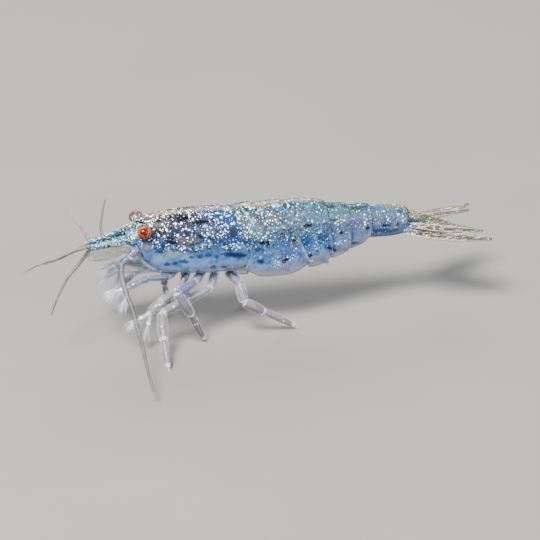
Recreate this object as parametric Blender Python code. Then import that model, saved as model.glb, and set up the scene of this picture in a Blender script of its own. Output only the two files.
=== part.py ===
"""A freshwater tiger shrimp as a still, life-size museum model, standing on its six walking legs.

Run it with blender --background --python part.py, or from Blender's text editor.
+Z is up and the head points along -X, so the animal's left side is at -Y. All sizes below are in
millimetres, and MM turns them to metres. The origin ends up at the bottom centre of the whole model.
"""

import math

import bmesh
import bpy
from mathutils import Matrix, Vector

MM = 0.001

# Thin cuts part the pieces, and nothing is thinner than THIN.
CUT = 0.10
THIN = 0.50
FEELER = 0.5 * THIN

# Trunk, seen from the side: (x, height above the floor) of the back and of the lower edge of the plates.
BACK = [
    (-8.6, 8.62), (-6.4, 8.76), (-2.9, 8.60), (0.6, 8.53), (2.7, 8.36), (4.5, 7.76), (8.8, 7.05), (9.7, 6.78),
]
HALF_WIDTH = [
    (-9.3, 1.00), (-8.6, 1.15), (-7.4, 1.52), (-5.0, 1.80), (-2.8, 1.70),
    (0.5, 1.62), (3.6, 1.28), (6.7, 0.90), (9.7, 0.72),
]
CARAPACE_EDGE = [(-9.3, 5.95), (-8.0, 5.45), (-6.0, 5.02), (-2.5, 5.00)]
CHEST_KEEL = [(-8.7, 5.35), (-7.0, 4.80), (-5.0, 4.45), (-3.0, 4.30)]
BELLY_EDGE = [(-2.9, 4.35), (-1.2, 3.90), (1.0, 3.78), (3.4, 4.10), (5.3, 4.72), (6.8, 5.25)]
TAIL_EDGE = [(6.5, 5.22), (8.5, 5.12), (9.7, 5.30)]

# Cuts across the trunk, front to back: x at the back, and x at the lower edge.
# The second tail ring's side plates are the broadest, so its two cuts spread downwards.
ORBIT_CUT = (-8.55, -9.05)
RING_CUTS = [
    (-2.80, -2.95), (-1.50, -2.05), (0.55, 2.35), (3.65, 4.05), (5.20, 5.30), (6.80, 6.70), (9.60, 9.45),
]
GROOVE_DEPTH = 0.95
GROOVED_RINGS = 5
# Swimmerets, front to back: x of the root, length, width, degrees below level.
SWIMMERETS = [
    (-2.35, 1.90, 0.70, 33),
    (-0.35, 1.90, 0.70, 33),
    (2.35, 1.60, 0.62, 30),
    (4.15, 1.20, 0.48, 28),
    (5.55, 0.72, 0.30, 30),
]

EYE_PLACE = (-9.13, 1.18, 8.15)
EYE_RADIUS = 0.45

ROSTRUM_LENGTH = 3.85
ROSTRUM_DROP = 16.5  # degrees below level
ROSTRUM_TEETH = 13

SIDES = {"left": -1, "right": 1}

# Where the walking legs' joints stand: hip, end of the third article, knee, ring below the knee, foot.
# The order is x, distance outwards, height. A hip has no height, because it hangs from the chest.
WALKING_LEGS = {
    "front_left": [
        (-5.02, 0.80), (-5.67, 1.60, 4.08), (-7.23, 2.80, 4.08), (-6.28, 2.80, 2.30), (-5.24, 2.60, 0),
    ],
    "middle_left": [
        (-4.10, 0.80), (-4.52, 1.40, 3.43), (-8.27, 2.60, 2.58), (-8.57, 4.30, 1.49), (-8.66, 6.03, 0),
    ],
    "rear_left": [
        (-3.20, 0.80), (-2.56, 1.60, 3.49), (-2.48, 2.40, 2.49), (-1.15, 2.50, 1.66), (1.23, 2.50, 0),
    ],
    "front_right": [
        (-5.02, 0.80), (-5.50, 1.55, 4.00), (-6.60, 2.95, 3.45), (-6.70, 2.90, 1.70), (-6.40, 2.37, 0),
    ],
    "middle_right": [
        (-4.10, 0.80), (-4.35, 1.55, 3.75), (-5.20, 2.95, 3.30), (-5.30, 2.90, 1.65), (-5.00, 2.50, 0),
    ],
    "rear_right": [
        (-3.20, 0.80), (-2.80, 1.55, 3.50), (-2.30, 2.45, 2.65), (-1.60, 2.45, 1.45), (-1.00, 2.00, 0),
    ],
}
WALKING_GIRTHS = [0.30, 0.30, 0.28, 0.26, FEELER]
HIP_GIRTH = 0.30
# Every bend of a limb is an arc of this radius, drawn in steps of about this many radians.
BEND_RADIUS = 0.36
BEND_STEP = 0.65
# A walking leg's end stands upright from this height, runs on past the floor and is cut off level with it.
FOOT_RISE = 0.42
FOOT_RUN = 0.40

# Feeding legs: the joints from hip to wrist, then the palm's end and the tips of the claw's two fingers.
CLAWED_LEGS = {
    "first_left": (
        [(-6.78, 0.75), (-7.40, 1.20, 4.52), (-8.91, 1.60, 4.84), (-9.50, 1.70, 4.77)],
        [(-10.20, 1.80, 4.50), (-11.70, 1.90, 4.26), (-10.72, 1.90, 3.30)],
    ),
    "second_left": (
        [(-5.92, 0.78), (-6.50, 1.25, 3.95), (-7.00, 1.62, 3.58), (-8.20, 2.10, 3.20)],
        [(-8.95, 2.25, 2.62), (-10.50, 2.50, 1.98), (-9.30, 2.55, 1.30)],
    ),
    "first_right": (
        [(-6.78, 0.75), (-7.50, 1.25, 4.40), (-8.60, 1.75, 4.15), (-9.25, 1.80, 4.30)],
        [(-9.95, 1.75, 4.45), (-11.10, 1.55, 4.05), (-10.30, 1.65, 3.30)],
    ),
    "second_right": (
        [(-5.92, 0.78), (-6.60, 1.60, 4.20), (-7.90, 2.60, 3.55), (-8.80, 2.75, 2.95)],
        [(-9.55, 2.70, 2.45), (-10.70, 2.55, 1.75), (-9.85, 2.60, 1.25)],
    ),
}
CLAWED_GIRTHS = [0.27, 0.27, 0.26]
PALM_GIRTH = 0.33

MAXILLIPED = [(-7.95, 0.58), (-9.34, 0.62, 5.02), (-10.80, 0.66, 5.20), (-11.75, 0.66, 4.80)]

# Head feelers: the thick basal stalk of each pair, and the thin lashes that leave it.
ANTENNULE_STALK = [(-10.12, 0.40, 7.24), (-11.05, 0.40, 7.18), (-11.85, 0.40, 7.10), (-12.50, 0.40, 7.04)]
ANTENNULE_GIRTH = 0.29
LASHES = {
    "antennule_upper_left": [
        (-12.72, 0.55, 7.32), (-13.61, 0.90, 7.26), (-15.06, 1.60, 7.20),
        (-16.54, 2.40, 7.35), (-17.96, 3.20, 7.27),
    ],
    "antennule_lower_left": [
        (-12.80, 0.42, 6.74), (-13.55, 0.70, 5.98), (-14.26, 1.00, 5.41), (-14.85, 1.30, 4.62),
        (-15.22, 1.50, 4.02), (-15.69, 1.80, 3.07),
    ],
    "antennule_upper_right": [
        (-12.62, 0.60, 7.36), (-12.90, 1.20, 7.94), (-13.33, 1.90, 8.40), (-13.71, 2.60, 8.78),
    ],
    "antennule_lower_right": [
        (-12.78, 0.50, 6.74), (-13.30, 1.00, 6.25), (-14.17, 1.60, 5.44), (-15.21, 2.40, 4.70),
    ],
    "antenna_left": [
        (-10.83, 1.62, 5.83), (-10.83, 1.90, 5.51), (-10.80, 2.80, 4.81), (-10.68, 3.90, 4.20),
        (-10.61, 5.20, 3.32), (-10.58, 6.60, 2.49), (-10.71, 8.60, 1.61), (-10.70, 10.10, 0.99),
    ],
    "antenna_right": [
        (-10.86, 1.62, 6.02), (-11.10, 2.10, 6.25), (-11.21, 2.80, 6.46), (-10.85, 3.90, 6.50),
        (-10.40, 5.00, 6.39), (-9.95, 6.50, 6.28), (-9.53, 8.00, 6.11),
    ],
}
ANTENNA_STALK = [(-9.60, 1.10, 6.80), (-10.15, 1.22, 6.42), (-10.66, 1.32, 6.02)]
ANTENNA_GIRTH = 0.29

MATERIALS = {
    "shell": ((0.32, 0.47, 0.66, 1), 0.35),
    "limb": ((0.62, 0.66, 0.72, 1), 0.25),
    "fin": ((0.58, 0.60, 0.62, 1), 0.30),
    "eye": ((0.75, 0.16, 0.05, 1), 0.15),
}


def smooth(points, x):
    """Height at x of a smooth curve through points, level past its ends."""
    if x <= points[0][0]:
        return points[0][1]
    if x >= points[-1][0]:
        return points[-1][1]
    i = max(k for k in range(len(points) - 1) if points[k][0] <= x)
    (x0, y0), (x1, y1) = points[i], points[i + 1]

    def slope(k):
        before, after = points[max(k - 1, 0)], points[min(k + 1, len(points) - 1)]
        return (after[1] - before[1]) / (after[0] - before[0])

    width = x1 - x0
    t = (x - x0) / width
    return (
        y0 * (1 + 2 * t) * (1 - t) ** 2
        + slope(i) * width * t * (1 - t) ** 2
        + y1 * t * t * (3 - 2 * t)
        + slope(i + 1) * width * t * t * (t - 1)
    )


def along(points, count):
    """count places evenly spread on a smooth curve through points in space."""
    spans = len(points) - 1
    made = []
    for k in range(count):
        s = k * spans / (count - 1)
        i = min(int(s), spans - 1)
        t = s - i
        a = points[i]
        b = points[i + 1]
        before = points[i - 1] if i else a + (a - b)
        after = points[i + 2] if i + 2 <= spans else b + (b - a)
        made.append(
            0.5 * (2 * a + (b - before) * t + (2 * before - 5 * a + 4 * b - after) * t**2
                   + (3 * a - before - 3 * b + after) * t**3)
        )
    return made


def sided(place, side):
    x, outwards, z = place
    return Vector((x, side * outwards, z))


def material(name):
    if name not in bpy.data.materials:
        made = bpy.data.materials.new(name)
        made.use_nodes = True
        colour, roughness = MATERIALS[name]
        shader = made.node_tree.nodes["Principled BSDF"]
        shader.inputs["Base Color"].default_value = colour
        shader.inputs["Roughness"].default_value = roughness
    return bpy.data.materials[name]


def node(name, data, finish):
    data.materials.clear()
    data.materials.append(material(finish))
    made = bpy.data.objects.new(name, data)
    bpy.data.collections["Shrimp"].objects.link(made)
    return made


def loft(name, rings, finish):
    """One closed skin over rings of points, each ring with the same number of points."""
    mesh = bpy.data.meshes.new(name)
    bm = bmesh.new()
    rows = [[bm.verts.new(Vector(p) * MM) for p in ring] for ring in rings]
    for first, second in zip(rows, rows[1:]):
        for k in range(len(first)):
            after = (k + 1) % len(first)
            bm.faces.new((first[k], first[after], second[after], second[k]))
    for end in (rows[0], rows[-1]):
        bm.faces.new(end)
    bmesh.ops.recalc_face_normals(bm, faces=bm.faces)
    bmesh.ops.triangulate(bm, faces=bm.faces)
    bm.to_mesh(mesh)
    bm.free()
    mesh.shade_smooth()
    mesh.set_sharp_from_angle(angle=math.radians(50))
    return node(name, mesh, finish)


def mirrored_ring(half, x_back, x_edge):
    """A closed ring from half an outline, (outwards, z) from the back to the keel, on a plane from
    x_back at the outline's top to x_edge at its lowest point."""
    top, low = half[0][1], min(z for _, z in half)

    def place(y, z):
        return (x_back + (x_edge - x_back) * (top - z) / (top - low), y, z)

    right = [place(y, z) for y, z in half]
    left = [place(-y, z) for y, z in reversed(half[1:-1])]
    return right + left


def plate_half(top, low, wide, edge_wide, floor, arc=6):
    """Half of a ring's outline: an arch down to the waist, a side that curves in to the lower edge,
    and then the points of floor, (outwards, z), to the middle."""
    waist = low + 0.52 * (top - low)
    half = []
    for k in range(arc + 1):
        turn = math.radians(90 * k / arc)
        half.append((wide * math.sin(turn), waist + (top - waist) * math.cos(turn)))
    for k in range(1, arc):
        turn = math.radians(90 * k / (arc - 1))
        half.append((edge_wide + (wide - edge_wide) * math.cos(turn), waist - (waist - low) * math.sin(turn)))
    return half + floor


def trunk_piece(name, front, rear, steps, edge, finish, floor_of, edge_share, width=HALF_WIDTH, back=BACK):
    """A length of the trunk between two slanting cuts, each given as (x at the back, x at the edge)."""
    rings = []
    for k in range(steps + 1):
        t = k / steps
        x_back = front[0] + (rear[0] - front[0]) * t + CUT * (0.5 - t)
        x_edge = front[1] + (rear[1] - front[1]) * t + CUT * (0.5 - t)
        top = smooth(back, x_back)
        low = smooth(edge, x_edge)
        wide = smooth(width, 0.5 * (x_back + x_edge))
        half = plate_half(top, low, wide, edge_share * wide, floor_of(low, edge_share * wide))
        rings.append(mirrored_ring(half, x_back, x_edge))
    return loft(name, rings, finish)


def grooved_floor(low, edge_wide):
    """The underside between the side plates: their lower edge, and the hollow that holds the swimmerets."""
    return [
        (edge_wide - THIN, low),
        (edge_wide - THIN - 0.08, low + GROOVE_DEPTH),
        (0, low + GROOVE_DEPTH + 0.12),
    ]


def flat_floor(low, edge_wide):
    return [(0.5 * edge_wide, low), (0, low)]


def round_floor(low, edge_wide):
    return [(0.5 * edge_wide, low - 0.05), (0, low - 0.08)]


def tube(name, places, radii, finish, sides=2):
    """A curve object with a round bevel, whose radius changes from place to place, and filled caps."""
    data = bpy.data.curves.new(name, "CURVE")
    data.dimensions = "3D"
    data.bevel_depth = MM
    data.bevel_resolution = sides
    data.use_fill_caps = True
    spline = data.splines.new("POLY")
    spline.points.add(len(places) - 1)
    for point, place, radius in zip(spline.points, places, radii):
        point.co = (*(place * MM), 1)
        point.radius = radius
    return node(name, data, finish)


def hip(x, outwards, side):
    """Where a limb starts: it lies close under the chest, whichever way it leaves."""
    return Vector((x, side * outwards, smooth(CHEST_KEEL, x) - CUT - HIP_GIRTH))


def bend(before, corner, after):
    """Places on an arc that rounds off a corner, wider than the limb so that its skin can't cross itself."""
    way_in = (corner - before).normalized()
    way_out = (after - corner).normalized()
    turn = way_in.angle(way_out)
    inwards = (way_out - way_in * math.cos(turn)).normalized()
    start = corner - way_in * BEND_RADIUS * math.tan(0.5 * turn)
    centre = start + inwards * BEND_RADIUS
    steps = max(1, round(turn / BEND_STEP))
    return [
        centre + BEND_RADIUS * (way_in * math.sin(turn * k / steps) - inwards * math.cos(turn * k / steps))
        for k in range(steps + 1)
    ]


def limb_line(joints, girths):
    """Centre line and radii of a jointed limb, whose articles swell in the middle and narrow at the joints."""
    places, radii = [joints[0]], [0.9 * girths[0]]
    for k, girth in enumerate(girths):
        places.append(joints[k].lerp(joints[k + 1], 0.5))
        radii.append(girth)
        if k + 1 < len(girths):
            arc = bend(joints[k], joints[k + 1], joints[k + 2])
            places += arc
            radii += [max(FEELER, 0.9 * girth)] * len(arc)
    return places + [joints[-1]], radii + [FEELER]


def walking_leg(place, joints):
    name = f"walking_leg_{place}"
    side = SIDES[place.split("_")[1]]
    *upper, foot = [hip(*joints[0], side)] + [sided(j, side) for j in joints[1:]]
    # The last article turns upright just above the floor, so that its end is a small level flat.
    line = upper + [foot + Vector((0, 0, FOOT_RISE)), foot - Vector((0, 0, FOOT_RUN))]
    tube(name, *limb_line(line, WALKING_GIRTHS), "limb")
    bpy.context.view_layer.update()
    cut_at_floor(mesh_of(bpy.data.objects[name]).data)


def mesh_of(obj):
    """The object as a welded mesh object with the same name, in place of its curve."""
    graph = bpy.context.evaluated_depsgraph_get()
    mesh = bpy.data.meshes.new_from_object(obj.evaluated_get(graph))
    bm = bmesh.new()
    bm.from_mesh(mesh)
    bmesh.ops.remove_doubles(bm, verts=bm.verts, dist=0.001 * MM)
    bmesh.ops.recalc_face_normals(bm, faces=bm.faces)
    bm.to_mesh(mesh)
    bm.free()
    name, finish = obj.name, obj.data.materials[0].name
    bpy.data.objects.remove(obj)
    return node(name, mesh, finish)


def cut_at_floor(mesh):
    """Takes away what lies under the floor and closes the cut with a level face."""
    bm = bmesh.new()
    bm.from_mesh(mesh)
    everything = bm.verts[:] + bm.edges[:] + bm.faces[:]
    cut = bmesh.ops.bisect_plane(bm, geom=everything, plane_no=(0, 0, 1), clear_inner=True)
    bmesh.ops.edgeloop_fill(bm, edges=[e for e in cut["geom_cut"] if isinstance(e, bmesh.types.BMEdge)])
    bmesh.ops.recalc_face_normals(bm, faces=bm.faces)
    bm.to_mesh(mesh)
    bm.free()


def claw(name, wrist, palm_end, upper_tip, lower_tip):
    """A palm with a fixed finger, and a second finger joined to it."""
    out = (palm_end - wrist).normalized()
    start = wrist + out * (CUT + 0.12)
    palm = tube(
        name,
        [start, start.lerp(palm_end, 0.35), palm_end, palm_end.lerp(upper_tip, 0.4), upper_tip],
        [FEELER, PALM_GIRTH, PALM_GIRTH, FEELER + 0.03, FEELER],
        "limb",
    )
    finger = tube(
        name + "_finger",
        [start.lerp(palm_end, 0.8), palm_end.lerp(lower_tip, 0.55), lower_tip],
        [FEELER, FEELER + 0.02, FEELER],
        "limb",
    )
    bpy.context.view_layer.update()
    palm, finger = mesh_of(palm), mesh_of(finger)
    union = palm.modifiers.new("finger", "BOOLEAN")
    union.operation = "UNION"
    union.object = finger
    bpy.data.collections["Shrimp"].objects.unlink(finger)
    bpy.data.collections["Guides"].objects.link(finger)
    finger.hide_render = True
    finger.display_type = "WIRE"


def clawed_leg(place, joints, claw_points):
    side = SIDES[place.split("_")[1]]
    line = [hip(*joints[0], side)] + [sided(j, side) for j in joints[1:]]
    tube(f"feeding_leg_{place}", *limb_line(line, CLAWED_GIRTHS), "limb")
    claw(f"claw_{place}", line[-1], *(sided(p, side) for p in claw_points))


def blade(name, base, tip, face_up, outline, finish, bevel=0.1):
    """A flat blade from a 2D curve: outline is (share of the length, distance across), from base to tip
    down one side and back up the other. face_up is the way its flat side faces."""
    length = (tip - base).length
    data = bpy.data.curves.new(name, "CURVE")
    data.dimensions = "2D"
    data.fill_mode = "BOTH"
    data.extrude = (0.5 * THIN - bevel) * MM
    data.bevel_depth = bevel * MM
    data.bevel_resolution = 0
    data.offset = -bevel * MM
    spline = data.splines.new("POLY")
    spline.use_cyclic_u = True
    spline.points.add(len(outline) - 1)
    for point, (share, across) in zip(spline.points, outline):
        point.co = (share * length * MM, across * MM, 0, 1)
    made = node(name, data, finish)
    long = (tip - base).normalized()
    wide = face_up.cross(long).normalized()
    turn = Matrix((long, wide, long.cross(wide))).transposed().to_4x4()
    made.matrix_world = Matrix.Translation(base * MM) @ turn
    return made


def leaf(width, blunt=0.5, steps=7, root=0.35):
    """A leaf's outline. It starts at root of its width, is widest past the middle and has a round tip."""
    shares = [k / steps for k in range(steps + 1)]

    def half_wide(t):
        swell = root + (1 - root) * math.sin(math.pi * min(1, t / 0.62) / 2)
        return 0.5 * width * swell * (1 - max(0, (t - 0.45) / 0.55) ** 2.4) ** blunt

    upper = [(t, half_wide(t)) for t in shares[:-1]]
    return upper + [(1, 0)] + [(t, -w) for t, w in reversed(upper)]


def trunk():
    carapace_rear = (RING_CUTS[0][0], RING_CUTS[0][1])
    trunk_piece("carapace", ORBIT_CUT, carapace_rear, 8, CARAPACE_EDGE, "shell", flat_floor, 0.86)
    for k in range(GROOVED_RINGS):
        name = f"tail_ring_{k + 1}"
        trunk_piece(name, RING_CUTS[k], RING_CUTS[k + 1], 3, BELLY_EDGE, "shell", grooved_floor, 0.90)
    trunk_piece("tail_ring_6", RING_CUTS[5], RING_CUTS[6], 4, TAIL_EDGE, "shell", round_floor, 0.45)


def chest():
    """The narrow breast under the carapace, which carries the legs."""
    rings = []
    front, rear, steps = -8.55, -2.95, 6
    for k in range(steps + 1):
        x = front + (rear - front) * k / steps
        top = smooth(CARAPACE_EDGE, x) - CUT
        low = smooth(CHEST_KEEL, x)
        wide = 0.86 * smooth(HALF_WIDTH, x) - 0.2
        half = [(0, top), (wide, top), (0.97 * wide, 0.5 * (top + low)), (0.62 * wide + 0.2, low), (0, low)]
        rings.append(mirrored_ring(half, x, x))
    loft("chest", rings, "shell")


def head():
    """The front of the head between the eyes, which carries the feelers, and the mouthparts under it."""
    rear = (ORBIT_CUT[0] - 0.17, ORBIT_CUT[1] - 0.05)
    rings = []
    for t in (0, 0.4, 0.75, 1):
        x_top = rear[0] + (-10.02 - rear[0]) * t
        x_low = rear[1] + (-9.98 - rear[1]) * t
        top = 7.62 - 0.02 * t
        low = 5.95 + 0.75 * t
        wide = 0.92 - 0.26 * t
        half = plate_half(top, low, wide, 0.5 * wide, round_floor(low, 0.5 * wide), 4)
        rings.append(mirrored_ring(half, x_top, x_low))
    loft("head", rings, "shell")
    rings = []
    for t, wide, top, low in ((0, 0.60, 5.58, 5.34), (0.5, 0.64, 5.76, 5.40), (1, 0.40, 6.15, 5.66)):
        x = -8.70 - 0.98 * t
        half = [(0, top), (0.7 * wide, top), (wide, 0.5 * (top + low)), (0.7 * wide, low), (0, low)]
        rings.append(mirrored_ring(half, x, x))
    loft("mouthparts", rings, "shell")


def rostrum():
    """The toothed spike between the eyes: one flat upright outline, thick enough to stand alone."""
    drop = math.radians(ROSTRUM_DROP)
    root = Vector((-8.78, 0, 8.34))
    tip = root + Vector((-math.cos(drop), 0, -math.sin(drop))) * ROSTRUM_LENGTH
    upper = []
    for k in range(ROSTRUM_TEETH):
        share = 0.10 + 0.82 * k / ROSTRUM_TEETH
        crest = 0.27 - 0.16 * share
        upper += [(share, crest), (share + 0.045, crest + 0.07)]
    # Local +Y of the outline points up, as its flat side faces sideways.
    outline = [(0, 0.26)] + upper + [(1, 0.02), (0.62, -0.16), (0.25, -0.22), (0, -0.30)]
    blade("rostrum", root, tip, Vector((0, 1, 0)), outline, "shell", bevel=0)


def eyes():
    for side_name, side in SIDES.items():
        centre = sided(EYE_PLACE, side)
        bpy.ops.mesh.primitive_uv_sphere_add(
            segments=16, ring_count=10, radius=EYE_RADIUS * MM, location=centre * MM
        )
        ball = bpy.context.object
        ball.name = f"eye_{side_name}"
        ball.data.materials.append(material("eye"))
        ball.data.shade_smooth()
        for collection in list(ball.users_collection):
            collection.objects.unlink(ball)
        bpy.data.collections["Shrimp"].objects.link(ball)
        inner = Vector((-9.03, side * 0.36, 8.06))
        outer = centre + (inner - centre).normalized() * (EYE_RADIUS + 0.05)
        tube(f"eyestalk_{side_name}", [inner, outer], [0.27, 0.30], "shell")


def feelers():
    for side_name, side in SIDES.items():
        stalk = [sided(p, side) for p in ANTENNULE_STALK]
        tube(f"antennule_{side_name}", *limb_line(stalk, [ANTENNULE_GIRTH] * 3), "shell")
        base = [sided(p, side) for p in ANTENNA_STALK]
        tube(f"antenna_base_{side_name}", *limb_line(base, [ANTENNA_GIRTH] * 2), "shell")
        root, tip = sided((-10.35, 1.18, 6.90), side), sided((-13.15, 1.30, 6.72), side)
        blade(f"antennal_scale_{side_name}", root, tip, Vector((0, -0.10 * side, 1)), leaf(0.98), "fin")
        arm = [hip(*MAXILLIPED[0], side)] + [sided(p, side) for p in MAXILLIPED[1:]]
        tube(f"maxilliped_{side_name}", *limb_line(arm, [0.27, 0.26, 0.25]), "limb")
    for name, line in LASHES.items():
        side = SIDES[name.rsplit("_", 1)[1]]
        places = along([sided(p, side) for p in line], 2 * len(line) - 1)
        tube(name, places, [FEELER] * len(places), "limb", sides=1)


def swimmerets():
    """Five pairs of paddles, folded back in the hollow between the side plates."""
    for k, (x, length, wide, pitch) in enumerate(SWIMMERETS):
        root_z = smooth(BELLY_EDGE, x) + GROOVE_DEPTH - 0.36
        slope = math.radians(pitch)
        for side_name, side in SIDES.items():
            root = Vector((x, side * (0.5 * wide + 0.5 * CUT), root_z))
            tip = root + Vector((math.cos(slope), 0, -math.sin(slope))) * length
            face = Vector((math.sin(slope), 0, math.cos(slope)))
            outline = leaf(wide, steps=5, root=0.7)
            blade(f"swimmeret_{k + 1}_{side_name}", root, tip, face, outline, "fin")


def tail_fan():
    root, tip = Vector((9.72, 0, 6.22)), Vector((13.1, 0, 4.95))
    rings = []
    for k in range(6):
        t = k / 5
        centre = root.lerp(tip, t)
        wide, thick = 0.52 - 0.26 * t, 0.42 - 0.16 * t
        ring = [(wide * math.sin(a), thick * math.cos(a)) for a in (math.tau * n / 12 for n in range(12))]
        rings.append([(centre.x + 0.3 * z, y, centre.z + z) for y, z in ring])
    loft("telson", rings, "fin")
    for side_name, side in SIDES.items():
        face = Vector((0, side * -0.30, 1))
        outer_root, outer_tip = sided((9.85, 0.82, 5.10), side), sided((15.15, 2.75, 4.95), side)
        blade(f"tail_fan_outer_{side_name}", outer_root, outer_tip, face, leaf(1.40), "fin")
        inner_root, inner_tip = sided((10.05, 0.72, 5.72), side), sided((14.55, 1.30, 5.22), side)
        blade(f"tail_fan_inner_{side_name}", inner_root, inner_tip, face, leaf(0.95), "fin")


def stand_on_origin():
    """Moves the whole model so that the origin is at the bottom centre of its box."""
    bpy.context.view_layer.update()
    graph = bpy.context.evaluated_depsgraph_get()
    corners = []
    parts = bpy.data.collections["Shrimp"].objects
    for part in parts:
        mesh = part.evaluated_get(graph).to_mesh()
        corners += [part.matrix_world @ v.co for v in mesh.vertices]
    lows = Vector(min(c[axis] for c in corners) for axis in range(3))
    highs = Vector(max(c[axis] for c in corners) for axis in range(3))
    shift = Matrix.Translation(-Vector((0.5 * (lows.x + highs.x), 0.5 * (lows.y + highs.y), lows.z)))
    for part in [*parts, *bpy.data.collections["Guides"].objects]:
        part.matrix_world = shift @ part.matrix_world


def main():
    for obj in list(bpy.data.objects):
        bpy.data.objects.remove(obj)
    for name in ("Shrimp", "Guides"):
        bpy.context.scene.collection.children.link(bpy.data.collections.new(name))
    bpy.data.collections["Guides"].hide_render = True
    trunk()
    chest()
    head()
    rostrum()
    eyes()
    feelers()
    for place, joints in WALKING_LEGS.items():
        walking_leg(place, joints)
    for place, (joints, claw_points) in CLAWED_LEGS.items():
        clawed_leg(place, joints, claw_points)
    swimmerets()
    tail_fan()
    stand_on_origin()


main()
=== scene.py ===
import math
import random

import bpy
import numpy as np
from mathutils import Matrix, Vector


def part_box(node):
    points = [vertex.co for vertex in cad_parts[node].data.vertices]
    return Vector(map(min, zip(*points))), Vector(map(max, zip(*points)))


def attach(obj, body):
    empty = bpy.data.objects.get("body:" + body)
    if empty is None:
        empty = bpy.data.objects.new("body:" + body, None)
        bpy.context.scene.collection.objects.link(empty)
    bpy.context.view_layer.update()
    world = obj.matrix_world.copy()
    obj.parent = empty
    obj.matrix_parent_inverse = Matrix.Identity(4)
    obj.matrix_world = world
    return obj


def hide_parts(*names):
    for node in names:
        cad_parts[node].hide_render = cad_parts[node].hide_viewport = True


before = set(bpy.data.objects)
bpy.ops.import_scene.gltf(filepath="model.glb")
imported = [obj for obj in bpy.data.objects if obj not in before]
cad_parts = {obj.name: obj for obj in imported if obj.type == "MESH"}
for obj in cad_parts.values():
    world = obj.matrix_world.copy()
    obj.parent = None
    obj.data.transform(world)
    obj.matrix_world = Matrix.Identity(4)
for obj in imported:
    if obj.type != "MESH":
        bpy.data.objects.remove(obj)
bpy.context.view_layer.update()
dice = random.Random(7)
mm = 0.001

# Lengths below are millimetres in the animal's own frame: head towards -X, its left side at -Y,
# floor at 0. The left eye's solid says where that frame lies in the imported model.
eyeHome = Vector((-9.13, -1.18, 8.15))
eyeLow, eyeHigh = (Vector(corner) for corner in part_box("eye_left"))
shift = (eyeLow + eyeHigh) / 2 - eyeHome * mm
sides = {"left": -1, "right": 1}

trunkLines = {
    "back": [
        (-9.6, 8.36), (-8.6, 8.62), (-6.4, 8.76), (-2.9, 8.60), (0.6, 8.53),
        (2.7, 8.36), (4.5, 7.76), (8.8, 7.05), (9.7, 6.78),
    ],
    "halfWidth": [
        (-9.3, 1.00), (-8.6, 1.15), (-7.4, 1.52), (-5.0, 1.80), (-2.8, 1.70),
        (0.5, 1.62), (3.6, 1.28), (6.7, 0.90), (9.7, 0.72),
    ],
    "carapaceEdge": [(-9.3, 6.00), (-8.55, 5.42), (-7.7, 5.08), (-6.6, 4.95), (-5.2, 4.78), (-2.9, 4.62)],
    "chestKeel": [(-8.7, 5.35), (-7.0, 4.80), (-5.0, 4.45), (-3.0, 4.30)],
    "bellyEdge": [(-2.9, 4.35), (-1.2, 3.90), (1.0, 3.78), (3.4, 4.10), (5.3, 4.72), (6.8, 5.25)],
    "tailEdge": [(6.5, 5.22), (8.5, 5.12), (9.7, 5.30)],
    # How far up the trunk it is widest.
    "waist": 0.52,
    # Cuts across the trunk: x at the back, x at the lower edge.
    "cuts": [
        (-2.80, -2.95), (-1.50, -2.05), (0.55, 2.35), (3.65, 4.05), (5.20, 5.30), (6.80, 6.70), (9.60, 9.45),
    ],
}


def smooth(points, x):
    if x <= points[0][0]:
        return points[0][1]
    if x >= points[-1][0]:
        return points[-1][1]
    i = max(k for k in range(len(points) - 1) if points[k][0] <= x)
    (x0, y0), (x1, y1) = points[i], points[i + 1]

    def slope(k):
        a, b = points[max(k - 1, 0)], points[min(k + 1, len(points) - 1)]
        return (b[1] - a[1]) / (b[0] - a[0])

    w = x1 - x0
    t = (x - x0) / w
    low = y0 * (1 + 2 * t) * (1 - t) ** 2 + slope(i) * w * t * (1 - t) ** 2
    return low + y1 * t * t * (3 - 2 * t) + slope(i + 1) * w * t * t * (t - 1)


def along(points, count):
    # Evenly spread places on a smooth curve through points.
    spans = len(points) - 1
    made = []
    for k in range(count):
        s = k * spans / (count - 1)
        i = min(int(s), spans - 1)
        t = s - i
        a, b = points[i], points[i + 1]
        before = points[i - 1] if i else a + (a - b)
        after = points[i + 2] if i + 2 <= spans else b + (b - a)
        made.append(
            0.5 * (2 * a + (b - before) * t + (2 * before - 5 * a + 4 * b - after) * t**2
                   + (3 * a - before - 3 * b + after) * t**3)
        )
    return made


def ease(low, high, x):
    t = min(1, max(0, (x - low) / (high - low)))
    return t * t * (3 - 2 * t)


def sided(p, side):
    return Vector((p[0], side * p[1], p[2]))


# Shaders


def hexColour(text):
    # sRGB hex to linear.
    values = [int(text[k:k + 2], 16) / 255 for k in (1, 3, 5)]
    return [v / 12.92 if v <= 0.04045 else ((v + 0.055) / 1.055) ** 2.4 for v in values] + [1]


def add(tree, kind, inputs=None, out=0, **settings):
    # One node. Each input is a value, a hex colour or another node's output. Gives one of its outputs.
    made = tree.nodes.new("ShaderNode" + kind)
    for key, value in settings.items():
        setattr(made, key, value)
    for key, value in (inputs or {}).items():
        if isinstance(value, bpy.types.NodeSocket):
            tree.links.new(value, made.inputs[key])
        else:
            made.inputs[key].default_value = hexColour(value) if isinstance(value, str) else value
    return made.outputs[out] if made.outputs else made


def startMaterial(name):
    material = bpy.data.materials.new(name)
    material.use_nodes = True
    tree = material.node_tree
    tree.nodes.clear()
    # Object coordinates turned to the animal's own millimetres.
    place = add(tree, "TexCoord", out="Object")
    place = add(tree, "VectorMath", {0: place, 1: shift}, operation="SUBTRACT")
    place = add(tree, "VectorMath", {0: place, "Scale": 1 / mm}, operation="SCALE")
    return material, tree, place, {axis: add(tree, "SeparateXYZ", {0: place}, axis) for axis in ("X", "Z")}


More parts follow.
